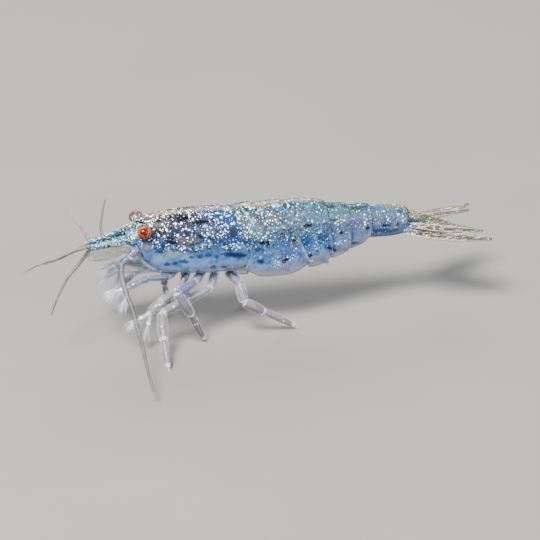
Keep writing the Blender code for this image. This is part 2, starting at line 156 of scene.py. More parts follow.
def mixPigment(tree, place, shares, look):
    # Adds to shares, which holds numbers and colours over the surface by name, what a look lists.
    # "painted": values that the points carry.
    for name in look.get("painted", ()):
        shares[name] = add(tree, "Attribute", out="Fac", attribute_name=name)
    # "clouds": a cloudy pattern's cell in millimetres, detail, roughness and seed.
    for name, (cell, detail, rough, seed) in look.get("clouds", {}).items():
        inputs = {"Vector": place, "W": seed, "Scale": 1 / cell, "Detail": detail, "Roughness": rough}
        shares[name] = add(tree, "TexNoise", inputs, noise_dimensions="4D")
    # "ramps": runs from start to end while another share goes from low to high. Further shares hold it back.
    for name, (source, low, high, start, end, *limits) in look.get("ramps", {}).items():
        inputs = {0: shares[source], 1: low, 2: high, 3: start, 4: end}
        share = add(tree, "MapRange", inputs, interpolation_type="SMOOTHSTEP")
        for limit in limits:
            share = add(tree, "Math", {0: share, 1: shares[limit]}, operation="MULTIPLY")
        shares[name] = share
    # "coats": a ground colour, then each colour laid over it as far as its share goes.
    for name, (ground, *coats) in look.get("coats", {}).items():
        body = ground
        for colour, share in coats:
            inputs = {0: shares[share], 6: body, 7: shares.get(colour, colour)}
            body = add(tree, "Mix", inputs, 2, data_type="RGBA")
        shares[name] = body


# How finely and how far the cells' places are bent, as shares of their spacing, how unevenly they lie, their
# smallest and largest size, and how soft their edge is.
speckLook = {"bendScale": 1.6, "bend": 0.35, "uneven": 0.95, "sizes": (0.55, 1.1), "softness": 0.12}


def specksOf(tree, place, spacing, size, seed):
    # Round pigment cells, spacing apart. Gives how much of a speck is here and a node of its random numbers.
    look = speckLook
    inputs = {"Vector": place, "Scale": look["bendScale"] / spacing, "Detail": 1}
    bent = add(tree, "TexNoise", inputs, "Color")
    inputs = {0: bent, 1: [look["bend"] * spacing] * 3, 2: place}
    moved = add(tree, "VectorMath", inputs, operation="MULTIPLY_ADD")
    moved = add(tree, "VectorMath", {0: moved, 1: (seed, seed * 2, seed * 3)}, operation="ADD")
    inputs = {"Vector": moved, "Scale": 1 / spacing, "Randomness": look["uneven"]}
    cells = add(tree, "TexVoronoi", inputs).node
    pick = add(tree, "SeparateColor", {0: cells.outputs["Color"]}).node
    inputs = {0: pick.outputs[0], 3: look["sizes"][0], 4: look["sizes"][1]}
    reach = add(tree, "MapRange", inputs, interpolation_type="SMOOTHSTEP")
    reach = add(tree, "Math", {0: reach, 1: size}, operation="MULTIPLY")
    near = add(tree, "Math", {0: reach, 1: cells.outputs["Distance"]}, operation="SUBTRACT")
    return add(tree, "MapRange", {0: near, 2: look["softness"]}, interpolation_type="SMOOTHSTEP"), pick


shellLook = {
    # The points carry how high on the flank they lie, a plate's rim and where reflecting cells crowd.
    "patterns": {
        "painted": ["high", "lip", "bright"],
        "clouds": {
            "broad": (1.1, 3, 0.6, 1), "drift": (0.60, 4, 0.62, 9), "middling": (0.34, 4, 0.6, 2),
            "small": (0.20, 3, 0.6, 7), "fine": (0.10, 3, 0.6, 3), "wisps": (0.42, 3, 0.5, 12),
            "soot": (0.22, 3, 0.6, 14), "dapple": (0.17, 4, 0.65, 18), "tufts": (0.30, 3, 0.6, 19),
            "grit": (0.30, 3, 0.55, 15), "patches": (0.62, 3, 0.6, 5), "scatter": (0.36, 3, 0.6, 17),
        },
        "ramps": {"uneven": ("broad", 0.3, 0.7, -0.13, 0.13)},
    },
    "pigment": {
        "ramps": {
            # Parts of the body, along it and up it.
            "front": ("X", -6.6, -4.2, 1, 0), "behindFront": ("front", 0, 1, 1, 0.25),
            "rings": ("X", -3.1, -2.5, 0, 1), "tail": ("X", 3.2, 4.8, 0, 1), "snout": ("X", -9.6, -9.0, 1, 0),
            "flank": ("high", 0.12, 0.46, 0, 1), "top": ("high", 0.50, 0.70, 0, 1),
            "crest": ("high", 0.76, 0.90, 0, 1), "blackish": ("high", 0.66, 0.80, 0, 1, "front"),
            "field": ("unevenHigh", 0.33, 0.54, 0, 1),
            # How far each coat shows.
            "lavender": ("drift", 0.50, 0.64, 0, 0.55), "sea": ("drift", 0.48, 0.38, 0, 0.85),
            "blueish": ("broad", 0.50, 0.64, 0, 0.7, "behindFront"),
            "hazeHeight": ("high", 0.45, 0.75, 0.45, 0.22),
            "hazy": ("middling", 0.54, 0.70, 0, 1, "hazeHeight"), "smoky": ("wisps", 0.55, 0.67, 0, 0.50),
            "sooty": ("soot", 0.52, 0.62, 0, 0.6, "tail"),
            "dappled": ("dapple", 0.50, 0.60, 0, 0.62, "rings"), "tailPink": ("X", 3.2, 4.8, 0, 0.20),
            "pinkAlong": ("X", -3.4, -2.4, 0.10, 1), "bellyPink": ("high", 0.0, 0.26, 0.85, 0, "pinkAlong"),
            "edge": ("high", 0.0, 0.035, 0.60, 0), "mossy": ("tufts", 0.46, 0.56, 0, 0.8, "rings", "crest"),
            "rustHeight": ("high", 0.50, 0.66, 0.6, 1), "rustAlong": ("X", 0.0, 4.0, 0.78, 0),
            "rusty": ("grit", 0.47, 0.57, 0, 1, "field", "rustHeight", "rustAlong"),
            "pitsAlong": ("X", -3.4, 4.0, 0.92, 0.40),
            "pits": ("small", 0.48, 0.57, 0, 1, "field", "pitsAlong"), "sheen": ("fine", 0.46, 0.75, 0, 0.10),
            "rim": ("small", 0.35, 0.6, 0.15, 0.55, "lip"), "roughness": ("fine", 0.3, 0.7, 0.21, 0.39),
            # Where marks are worn or broken up. The painted highlights among them, pale, gold and honey, are
            # only broken up.
            "worn": ("middling", 0.34, 0.56, 0.45, 1), "broken": ("small", 0.40, 0.56, 0.15, 1),
            # Where the reflecting cells lie: thick over the carapace and the first rings, thin on the tail.
            "thinning": ("X", -3.0, 4.8, 1, 0.66),
            "crowded": ("patches", 0.36, 0.56, 0.55, 1, "field", "thinning"),
            "lowFlank": ("high", 0.10, 0.30, 0, 1),
            "straying": ("scatter", 0.50, 0.58, 0, 0.85, "rings", "lowFlank"),
            "larger": ("blackish", 0, 1, 1.08, 1.14), "creamAlong": ("X", -6.4, -4.6, 1, 0.25),
            "creamy": ("high", 0.80, 0.96, 0, 0.8, "creamAlong"), "behindEye": ("X", -6.4, -5.0, 0, 1),
            "muzzle": ("X", -9.6, -9.1, 1, 0),
        },
        "coats": {
            "upper": ["#082042", ("#09090F", "blackish"), ("#334757", "rings"), ("#22384E", "tail"),
                      ("#1E5066", "snout")],
            "body": [
                "#4A668B", ("#27476C", "flank"), ("#6B768F", "lavender"), ("#1B4763", "sea"),
                ("upper", "top"), ("#052251", "blueish"), ("#768396", "hazy"), ("#11283D", "smoky"),
                ("#11283D", "sooty"), ("#052251", "dappled"), ("#685F65", "tailPink"),
                ("#685F65", "bellyPink"), ("#595C6A", "edge"), ("#1C4441", "mossy"), ("#33221E", "rusty"),
                ("#020307", "pits"), ("#8CC0F0", "sheen"),
            ],
            "cold": ["#FFFFFF", ("#C4ECFF", "behindEye"), ("#C4ECFF", "muzzle")],
        },
    },
    # How uneven the marks' edges are, at which strength they begin, below which they fade out, and how much
    # they cover at most.
    "ragged": 0.34, "markMiddle": 0.48, "markFade": 0.2, "markCover": 0.90,
    # How far gold marks, partly gold colour and partly painted highlight along top edges, crowd the
    # reflecting cells, and how far they turn them orange.
    "goldCover": 0.95, "goldWarmth": 0.8,
    # Each kind of mark that the points carry: its colour, how soft its edge is, and how it is worn.
    "marks": {
        "mist": ("#677275", 0.42, "worn"), "blue": ("#092750", 0.34, None), "teal": ("#092528", 0.34, None),
        # pale marks are painted highlight where the wet shell glares, laid over crowded reflecting cells.
        "pale": ("#7892A4", 0.40, "worn"), "rose": ("#7C6F78", 0.40, "worn"),
        # gold is partly gold colour and partly painted highlight along top edges. honey is a painted golden
        # highlight on the telson's top, partly gold colour.
        "brown": ("#403933", 0.30, "worn"), "gold": ("#62491D", 0.34, "broken"),
        "honey": ("#5F4E28", 0.40, "worn"), "olive": ("#3A3627", 0.40, None), "ink": ("#041431", 0.26, None),
        "dark": ("#020407", 0.14, None),
    },
    # Marks that the reflecting cells leave clearer: from which strength to which, and how many cells stay.
    "clearer": {"dark": (0.25, 0.6, 0.45), "brown": (0.4, 0.9, 0.72), "ink": (0.3, 0.8, 0.55)},
    # Reflecting cells: each layer's spacing in millimetres, how far a cell fills it, and its own pattern.
    "cells": [(0.21, 0.37, 1.3), (0.15, 0.29, 4.1), (0.34, 0.22, 7.7)],
    "cream": "#FFF0D0", "orange": "#FFD590", "green": "#94ECC4", "sky": "#8CC0F0", "lip": "#A5B1C0",
    # How far the skin's grain and the cells stand up, as shares of the bump's distance.
    "fineHeight": 0.4, "speckHeight": 0.6, "bump": {"Strength": 0.6, "Distance": 0.03 * mm},
    # The clear lower edge: how much its rim counts as flank, how high it reaches, and how solid it stays.
    "rimSolid": 0.5, "clearBelow": 0.20, "clearest": 0.45,
    "skin": {
        "IOR": 1.50, "Specular IOR Level": 0.14, "Subsurface Weight": 0.05,
        "Subsurface Radius": (0.6, 0.8, 1.0), "Subsurface Scale": 0.06 * mm, "Coat Weight": 0.05,
        "Coat Roughness": 0.08,
    },
}
# How the cells differ between the trunk's thin clear-edged shell and the thick one of head and tail: how
# dense, from which random number on they are green or cream, and how coarse.
trunkCells = {"density": 1, "greenFrom": 0.93, "creamFrom": 0.955, "grain": 1, "clearEdge": True}
headCells = {"density": 0.98, "greenFrom": 0.60, "creamFrom": 0.84, "grain": 0.66, "clearEdge": False}


def tigerShell(name, ownCells):
    # Living cuticle over pigment cells: a wet skin of clear chitin, so crisp highlights over soft colour,
    # with reflecting cells that read as separate bright grains.
    material, tree, place, shares = startMaterial(name)
    look = shellLook
    mixPigment(tree, place, shares, look["patterns"])
    # The speckled field thins out down the flank along an uneven line.
    shares["unevenHigh"] = add(tree, "Math", {0: shares["high"], 1: shares["uneven"]}, operation="ADD")
    mixPigment(tree, place, shares, look["pigment"])
    mixPigment(tree, place, shares, {"painted": look["marks"]})
    body = shares["body"]
    # Marks have ragged edges, as their pigment cells spread unevenly.
    uneven = look["ragged"]
    ragged = add(tree, "MapRange", {0: shares["small"], 1: 0.25, 2: 0.75, 3: -uneven, 4: uneven})
    for kind, (colour, soft, wear) in look["marks"].items():
        share = add(tree, "Math", {0: shares[kind], 1: ragged}, operation="ADD")
        inputs = {0: share, 1: look["markMiddle"] - soft, 2: look["markMiddle"] + soft}
        share = add(tree, "MapRange", inputs, interpolation_type="SMOOTHSTEP")
        inputs = {0: shares[kind], 2: look["markFade"]}
        there = add(tree, "MapRange", inputs, interpolation_type="SMOOTHSTEP")
        for limit in [there, look["markCover"]] + ([shares[wear]] if wear else []):
            share = add(tree, "Math", {0: share, 1: limit}, operation="MULTIPLY")
        body = add(tree, "Mix", {0: share, 6: body, 7: colour}, 2, data_type="RGBA")
    goldCover = add(tree, "Math", {0: shares["gold"], 1: look["goldCover"]}, operation="MULTIPLY")
    cover = shares["crowded"]
    for more in (shares["straying"], shares["bright"], goldCover):
        cover = add(tree, "Math", {0: cover, 1: more}, operation="MAXIMUM")
    for kind, (low, high, left) in look["clearer"].items():
        inputs = {0: shares[kind], 1: low, 2: high, 3: 1, 4: left}
        less = add(tree, "MapRange", inputs, interpolation_type="SMOOTHSTEP")
        cover = add(tree, "Math", {0: cover, 1: less}, operation="MULTIPLY", use_clamp=True)
    warm = add(tree, "Math", {0: shares["gold"], 1: look["goldWarmth"]}, operation="MULTIPLY")
    cover = add(tree, "Math", {0: cover, 1: shares["larger"]}, operation="MULTIPLY")
    specks = 0
    for spacing, reach, seed in look["cells"]:
        size = add(tree, "Math", {0: cover, 1: reach * ownCells["density"]}, operation="MULTIPLY")
        speck, pick = specksOf(tree, place, spacing * ownCells["grain"], size, seed)
        chances = {"second": pick.outputs[1], "third": pick.outputs[2], "rings": shares["rings"]}
        mixPigment(tree, place, chances, {"ramps": {
            "cold": ("second", 0.0, 0.60, 0, 1), "glint": ("third", 0.76, 0.79, 0, 1, "rings"),
            "cream": ("second", ownCells["creamFrom"], ownCells["creamFrom"] + 0.02, 0, 1),
            "green": ("third", ownCells["greenFrom"], ownCells["greenFrom"] + 0.03, 0, 1),
        }})
        green = add(tree, "Math", {0: chances["green"], 1: chances["glint"]}, operation="MAXIMUM")
        shade = look["sky"]
        for share, colour in (
            (chances["cold"], shares["cold"]), (chances["cream"], look["cream"]), (green, look["green"]),
            (shares["creamy"], look["cream"]), (warm, look["orange"]),
        ):
            shade = add(tree, "Mix", {0: share, 6: shade, 7: colour}, 2, data_type="RGBA")
        body = add(tree, "Mix", {0: speck, 6: body, 7: shade}, 2, data_type="RGBA")
        specks = add(tree, "Math", {0: specks, 1: speck}, operation="MAXIMUM")
    body = add(tree, "Mix", {0: shares["rim"], 6: body, 7: look["lip"]}, 2, data_type="RGBA")
    heights = add(tree, "Math", {0: shares["fine"], 1: look["fineHeight"]}, operation="MULTIPLY")
    heights = add(tree, "Math", {0: specks, 1: look["speckHeight"], 2: heights}, operation="MULTIPLY_ADD")
    bump = add(tree, "Bump", {"Height": heights, **look["bump"]})
    inputs = {"Base Color": body, "Normal": bump, "Roughness": shares["roughness"], **look["skin"]}
    skin = add(tree, "BsdfPrincipled", inputs)
    if ownCells["clearEdge"]:
        solid = add(tree, "Math", {0: shares["lip"], 1: look["rimSolid"]}, operation="MULTIPLY")
        solid = add(tree, "Math", {0: solid, 1: shares["high"]}, operation="MAXIMUM")
        inputs = {0: solid, 2: look["clearBelow"], 3: look["clearest"]}
        solid = add(tree, "MapRange", inputs, interpolation_type="SMOOTHSTEP")
        tree.links.new(solid, skin.node.inputs["Alpha"])
    add(tree, "OutputMaterial", {0: skin})
    return material


limbLook = {
    "painted": ["joint"],
    "clouds": {"cloud": (0.5, 3, 0.55, 2), "grain": (0.07, 2, 0.5, 4), "scatter": (0.8, 2, 0.5, 6)},
    "ramps": {
        "near": ("Z", 2.6, 4.6, 0, 1), "blush": ("cloud", 0.45, 0.65, 0, 0.45),
        "size": ("scatter", 0.48, 0.60, 0, 0.30), "whitish": ("joint", 0.2, 0.9, 0, 1),
        "milky": ("Z", 2.6, 4.6, 0.0, 0.16), "roughness": ("grain", 0.3, 0.7, 0.09, 0.24),
        "rims": ("facing", 0.66, 0.90, 0, 1),
    },
    "coats": {"body": ["#F2ECF0", ("#636D85", "near"), ("#8B7B80", "blush")]}, "white": "#FFFFFF",
    "spacing": 0.19, "bump": {"Strength": 0.25, "Distance": 0.02 * mm},
    # How solid the joints are, at which share the skin is fully solid, and how solid it is where clearest.
    "jointSolid": 0.75, "solidFrom": 0.9, "clearest": 0.08,
    "skin": {
        "IOR": 1.52, "Coat Weight": 0.6, "Coat Roughness": 0.06, "Sheen Weight": 0.6, "Sheen Roughness": 0.25,
    },
}


def clearLimb(name):
    # Thin clear chitin tube: like wet horn, bright along its rims and milky where it is thick at the joints.
    material, tree, place, shares = startMaterial(name)
    look = limbLook
    # A glass tube is clearest straight through and closes up towards its rims.
    shares["facing"] = add(tree, "LayerWeight", {"Blend": 0.5}, "Facing")
    mixPigment(tree, place, shares, look)
    speck = specksOf(tree, place, look["spacing"], shares["size"], 2.2)[0]
    body = shares["body"]
    for share in (speck, shares["whitish"]):
        body = add(tree, "Mix", {0: share, 6: body, 7: look["white"]}, 2, data_type="RGBA")
    solid = add(tree, "Math", {0: shares["joint"], 1: look["jointSolid"]}, operation="MULTIPLY")
    for share in (speck, shares["rims"], shares["milky"]):
        solid = add(tree, "Math", {0: solid, 1: share}, operation="MAXIMUM")
    alpha = add(tree, "MapRange", {0: solid, 2: look["solidFrom"], 3: look["clearest"]})
    bump = add(tree, "Bump", {"Height": shares["grain"], **look["bump"]})
    inputs = {"Base Color": body, "Roughness": shares["roughness"], "Alpha": alpha, "Normal": bump}
    skin = add(tree, "BsdfPrincipled", {**inputs, **look["skin"]})
    add(tree, "OutputMaterial", {0: skin})
    return material


coreLook = {
    "clouds": {"strands": (0.12, 3, 0.6, 3)},
    "ramps": {"upper": ("Z", 2.2, 4.4, 0, 1), "threads": ("strands", 0.54, 0.72, 0, 0.5)},
    "coats": {"body": ["#393038", ("#364365", "upper"), ("#56484F", "threads")]},
    "skin": {"IOR": 1.40, "Roughness": 0.5, "Alpha": 0.66},
}


def limbMuscle(name):
    # Muscle strands inside a limb, seen through the cuticle: matt, bluish near the body and grey-mauve below.
    material, tree, place, shares = startMaterial(name)
    mixPigment(tree, place, shares, coreLook)
    skin = add(tree, "BsdfPrincipled", {"Base Color": shares["body"], **coreLook["skin"]})
    add(tree, "OutputMaterial", {0: skin})
    return material


finLook = {
    "painted": ["rib", "far"],
    "clouds": {"grain": (0.22, 3, 0.6, 1)},
    "ramps": {
        "outer": ("far", 0.02, 0.22, 0, 1), "warm": ("grain", 0.42, 0.62, 0, 0.7),
        "folded": ("folds", 0.46, 0.38, 0, 1), "spotSize": ("far", 0.2, 0.9, 0.52, 0.30),
        "speckSize": ("far", 0.05, 0.8, 0.46, 0.28), "ribbed": ("grain", 0.40, 0.56, 0.35, 0.9, "rib"),
        "root": ("far", 0.0, 0.4, 0.7, 0),
    },
    # The fold's cell, and how far a fold is drawn out along the blade.
    "fold": 0.11, "drawn": (0.10, 1, 1),
    # The pale and dark cells: spacing in millimetres, pattern, and how strong.
    "spots": (0.23, 5.7, 0.75), "specks": (0.17, 3.1, 0.8),
    # How solid ribs and cells are.
    "ribSolid": 0.6, "bump": {"Strength": 0.3, "Distance": 0.02 * mm},
    "skin": {"IOR": 1.48, "Specular IOR Level": 0.3, "Coat Weight": 0.1, "Coat Roughness": 0.1},
}
# Colours of a blade at its root and beyond, its ribs, stains and dark cells, how solid it is, how strong the
# painted highlight and shade of its folds are, and how rough it is.
scaleLook = {
    "base": "#222F4B", "blade": "#3C3833", "rib": "#65625A", "warm": "#2E2822", "spot": "#15110E",
    "solid": 0.36, "folds": 0.85, "roughness": 0.42,
}
leafLook = {
    "base": "#404E6A", "blade": "#5D6982", "rib": "#80899B", "warm": "#4C566F", "spot": "#34405C",
    "solid": 0.55, "folds": 0.4, "roughness": 0.28,
}
tailLook = {
    "base": "#344051", "blade": "#37312A", "rib": "#B4AA9E", "warm": "#47352F", "spot": "#1E1711",
    "solid": 0.90, "folds": 0.5, "roughness": 0.28,
}


def clearFin(name, own):
    # Chitin blade thinner than paper, ribbed and dusted with pale cells: milky, clearest between its ribs.
    material, tree, place, shares = startMaterial(name)
    look = finLook
    # Fine folds run the length of the blade. They are not in its shape: their ridges are painted pale and
    # their creases dark, as painted highlight and painted shade.
    drawn = add(tree, "VectorMath", {0: place, 1: look["drawn"]}, operation="MULTIPLY")
    mixPigment(tree, drawn, shares, {"clouds": {"folds": (look["fold"], 3, 0.6, 8)}})
    mixPigment(tree, place, shares, look)
    mixPigment(tree, place, shares, {
        "ramps": {
            # ridge is painted highlight on the folds, and crease is painted shade in them.
            "ridge": ("folds", 0.52, 0.64, 0, own["folds"]), "crease": ("folds", 0.46, 0.36, 0, own["folds"]),
        },
        "coats": {"body": [
            own["base"], (own["blade"], "outer"), (own["warm"], "warm"), (own["rib"], "ridge"),
            (own["spot"], "crease"),
        ]},
    })
    body = shares["body"]
    for cells, size, colour in (("spots", "spotSize", own["spot"]), ("specks", "speckSize", own["rib"])):
        spacing, seed, strength = look[cells]
        speck = specksOf(tree, place, spacing, shares[size], seed)[0]
        share = add(tree, "Math", {0: speck, 1: strength}, operation="MULTIPLY")
        body = add(tree, "Mix", {0: share, 6: body, 7: colour}, 2, data_type="RGBA")
    body = add(tree, "Mix", {0: shares["ribbed"], 6: body, 7: own["rib"]}, 2, data_type="RGBA")
    solid = shares["rib"]
    for share in (speck, shares["folded"]):
        solid = add(tree, "Math", {0: solid, 1: share}, operation="MAXIMUM")
    solid = add(tree, "Math", {0: solid, 1: look["ribSolid"]}, operation="MULTIPLY", use_clamp=True)
    shares["solid"] = add(tree, "Math", {0: solid, 1: shares["root"]}, operation="MAXIMUM")
    mixPigment(tree, place, shares, {"ramps": {"alpha": ("solid", 0, 0.9, own["solid"], 1)}})
    bump = add(tree, "Bump", {"Height": shares["rib"], **look["bump"]})
    inputs = {"Base Color": body, "Roughness": own["roughness"], "Alpha": shares["alpha"], "Normal": bump}
    skin = add(tree, "BsdfPrincipled", {**inputs, **look["skin"]})
    add(tree, "OutputMaterial", {0: skin})
    return material


eyeLook = {
    # The right eye's rim and iris are the left eye's colours painted darker: painted shade on the far eye.
    "rim": {"left": "#AE7E68", "right": "#5C332C"}, "iris": {"left": "#943318", "right": "#4A241C"},
    "clouds": {"mottle": (0.15, 3, 0.6, 1), "stain": (0.20, 3, 0.6, 6)},
    "ramps": {
        "iris": ("level", 0.02, 0.42, 0, 1), "inner": ("stain", 0.46, 0.60, 0, 0.85),
        "blotch": ("wavy", 1.02, 1.12, 0, 0.96), "facet": ("facets", 0.45, 0.75, 0, 0.22),
    },
    "inner": "#4F1106", "blotch": "#0B0101", "facet": "#A75E3A",
    "skin": {"IOR": 1.40, "Specular IOR Level": 0.22, "Roughness": 0.10},
    "bump": {"Strength": 0.15, "Distance": 0.01 * mm},
    # The facets are 0.02 mm in life and are drawn coarser so that they show.
    "facets": 0.045, "uneven": 0.15,
    # How far cloudiness moves the edge of the dark blotch.
    "waviness": 0.50,
}


def compoundEye(name, centre, facing, rim, iris):
    # Faceted cornea over red pigment: a hard wet gloss, with the pigment darkest straight in.
    material, tree, place, shares = startMaterial(name)
    look = eyeLook
    away = add(tree, "VectorMath", {0: place, 1: centre}, operation="SUBTRACT")
    unit = add(tree, "VectorMath", {0: away}, operation="NORMALIZE")
    shares["level"] = add(tree, "VectorMath", {0: unit, 1: facing}, "Value", operation="DOT_PRODUCT")
    inputs = {"Vector": place, "Scale": 1 / look["facets"], "Randomness": look["uneven"]}
    shares["facets"] = add(tree, "TexVoronoi", inputs)
    mixPigment(tree, place, shares, {"clouds": look["clouds"]})
    inputs = {0: shares["mottle"], 1: look["waviness"], 2: shares["level"]}
    shares["wavy"] = add(tree, "Math", inputs, operation="MULTIPLY_ADD")
    mixPigment(tree, place, shares, {
        "ramps": look["ramps"],
        "coats": {"body": [rim, (iris, "iris")] + [(look[c], c) for c in ("inner", "blotch", "facet")]},
    })
    bump = add(tree, "Bump", {"Height": shares["facets"], **look["bump"]})
    skin = add(tree, "BsdfPrincipled", {"Base Color": shares["body"], "Normal": bump, **look["skin"]})
    add(tree, "OutputMaterial", {0: skin})
    return material


# What threads and flesh share, and then two colours, roughness and how solid each is.
plainLook = {
    "clouds": {"cloud": (0.35, 3, 0.6, 3), "grain": (0.08, 2, 0.5, 5)},
    "ramps": {"cloudy": ("cloud", 0.35, 0.65, 0, 0.7)},
    "bump": {"Strength": 0.3, "Distance": 0.02 * mm}, "skin": {"IOR": 1.48},
}
chitinLook = {
    "brown bristle chitin": ("#6D655A", "#4D453E", 0.34, 0.8),
    "pale bristle chitin": ("#C2C6D1", "#8F97AE", 0.30, 1),
    "clear bristle chitin": ("#D6DAE4", "#A8AEBE", 0.30, 0.66),
    "ringed feeler chitin": ("#413A35", "#786D63", 0.34, 0.9),
    "clear feeler chitin": ("#34322F", "#56524C", 0.48, 0.52),
    "milky muscle": ("#596985", "#798191", 0.45, 1),
}


def plainChitin(name, colour, stain, roughness, solid):
    # Chitin threads and flesh: a soft gloss over a slightly cloudy colour.
    material, tree, place, shares = startMaterial(name)
    mixPigment(tree, place, shares, {**plainLook, "coats": {"body": [colour, (stain, "cloudy")]}})
    bump = add(tree, "Bump", {"Height": shares["grain"], **plainLook["bump"]})
    inputs = {"Base Color": shares["body"], "Normal": bump, "Roughness": roughness, "Alpha": solid}
    skin = add(tree, "BsdfPrincipled", {**inputs, **plainLook["skin"]})
    add(tree, "OutputMaterial", {0: skin})
    return material


shell = tigerShell("cuticle over pigment cells", trunkCells)
solidShell = tigerShell("thick cuticle over pigment cells", headCells)
limb = clearLimb("clear limb cuticle")
core = limbMuscle("limb muscle")
fin = clearFin("clear scale cuticle", scaleLook)
leaf = clearFin("clear swimmeret cuticle", leafLook)
tailFin = clearFin("clear tail cuticle", tailLook)
chitins = (plainChitin(name, *look) for name, look in chitinLook.items())
brownHair, hair, fanHair, lash, clearLash, muscle = chitins
print("materials made")


# Shapes: each is a dictionary of points, faces, values that its points carry, and places on its unwrap.


def newShape():
    return {"points": [], "faces": [], "values": {}, "spots": []}


def addPoint(shape, p, **values):
    index = len(shape["points"])
    shape["points"].append(p)
    for key, value in values.items():
        shape["values"].setdefault(key, {})[index] = value
    return index


def between(a, b, spans):
    # Evenly spread places from a to b.
    return [a.lerp(b, k / spans) for k in range(spans + 1)]


def hump(x, centre, width):
    return math.exp(-((x - centre) / width) ** 2)


def addGrid(shape, rows, wrap=False):
    # rows holds rows of point indices.
    for first, second in zip(rows, rows[1:]):
        for n in range(len(first) if wrap else len(first) - 1):
            m = (n + 1) % len(first)
            shape["faces"].append((first[n], first[m], second[m], second[n]))


def closeEnds(shape, rows, tips=None):
    # Closes a tube's first and last row with a fan of faces round a tip each, or with one flat face each.
    for end, row in enumerate((rows[0], rows[-1])):
        if tips is None:
            shape["faces"].append(tuple(row))
            continue
        for n in range(len(row)):
            a, b = row[n], row[(n + 1) % len(row)]
            shape["faces"].append((b, tips[end], a) if end else (a, tips[end], b))


def addRings(shape, spans, count, pointAt):
    # A closed body of rings. pointAt gives a point, t along it and a round it, and what the point carries.
    rows = []
    for k in range(spans + 1):
        found = [pointAt(k / spans, math.tau * n / count) for n in range(count)]
        rows.append([addPoint(shape, p, **values) for p, values in found])
    addGrid(shape, rows, wrap=True)
    closeEnds(shape, rows)


def addSweep(shape, line, radii, count=12, squash=1, valuesAt=lambda t: {}):
    # A tube along line, closed at both ends. squash flattens it, and valuesAt gives what its points carry.
    rows = []
    side = None
    for k, (centre, radius) in enumerate(zip(line, radii)):
        ahead = line[min(k + 1, len(line) - 1)] - line[max(k - 1, 0)]
        ahead.normalize()
        if side is None:
            side = ahead.cross(Vector((0, 0, 1)))
            if side.length < 0.1:
                side = ahead.cross(Vector((0, 1, 0)))
        side = (side - ahead * side.dot(ahead)).normalized()
        rise = ahead.cross(side)
        values = valuesAt(k / (len(line) - 1))
        row = []
        for n in range(count):
            a = math.tau * n / count
            out = side * math.cos(a) + rise * math.sin(a) * squash
            row.append(addPoint(shape, centre + radius * out, **values))
        rows.append(row)
    for first, second in zip(rows, rows[1:]):
        for n in range(count):
            m = (n + 1) % count
            shape["faces"].append((first[n], second[n], second[m], first[m]))
    tips = [addPoint(shape, line[end].copy(), **valuesAt(at)) for at, end in ((0, 0), (1, -1))]
    closeEnds(shape, rows, tips)


# A hair has three sides and loses this share of its radius towards the tip. patch is the half-width of its
# place on the unwrap, where its sides lie patchTurn apart.
bristleLook = {"steps": 4, "narrowing": 0.8, "patch": 0.0015, "patchTurn": 2.1}


def addBristle(shape, root, aim, length, radius, droop, patch):
    # A tapering three-sided hair that bends by droop, a vector. patch is its root's place on the unwrap.
    side = aim.cross(Vector((0.3, 0.5, 0.8))).normalized()
    other = aim.cross(side).normalized()
    steps = bristleLook["steps"]
    first = len(shape["points"])
    for k in range(steps):
        t = k / steps
        centre = root + aim * (length * t) + droop * (t * t * length)
        for n in range(3):
            a = math.tau * n / 3
            out = side * math.cos(a) + other * math.sin(a)
            addPoint(shape, centre + out * radius * (1 - bristleLook["narrowing"] * t))
    tip = addPoint(shape, root + aim * length + droop * length)
    for k in range(steps - 1):
        for n in range(3):
            m = (n + 1) % 3
            a, b = first + 3 * k, first + 3 * (k + 1)
            shape["faces"].append((a + n, a + m, b + m, b + n))
    last = first + 3 * (steps - 1)
    for n in range(3):
        shape["faces"].append((last + n, last + (n + 1) % 3, tip))
    shape["spots"] += [patch] * (len(shape["points"]) - first)


def addPiece(name, shape, material, replaced=(), thickness=0):
    mesh = bpy.data.meshes.new(name)
    mesh.from_pydata([shift + p * mm for p in shape["points"]], [], shape["faces"])
    mesh.validate()
    for key, found in shape["values"].items():
        layer = mesh.attributes.new(key, "FLOAT", "POINT")
        layer.data.foreach_set("value", [found.get(k, 0.0) for k in range(len(mesh.vertices))])
    if shape["spots"]:
        unwrap = mesh.uv_layers.new(name="OFBake")
        half = bristleLook["patch"]
        for loop in mesh.loops:
            u, v = shape["spots"][loop.vertex_index]
            turn = bristleLook["patchTurn"] * (loop.vertex_index % 3)
            unwrap.data[loop.index].uv = (u + half * math.cos(turn), v + half * math.sin(turn))
    mesh.materials.append(material)
    mesh.shade_smooth()
    made = bpy.data.objects.new(name, mesh)
    bpy.context.scene.collection.objects.link(made)
    if thickness:
        wall = made.modifiers.new("wall", "SOLIDIFY")
        wall.thickness = thickness * mm
        wall.offset = -1
    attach(made, "root")
    if replaced:
        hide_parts(*replaced)


# Trunk


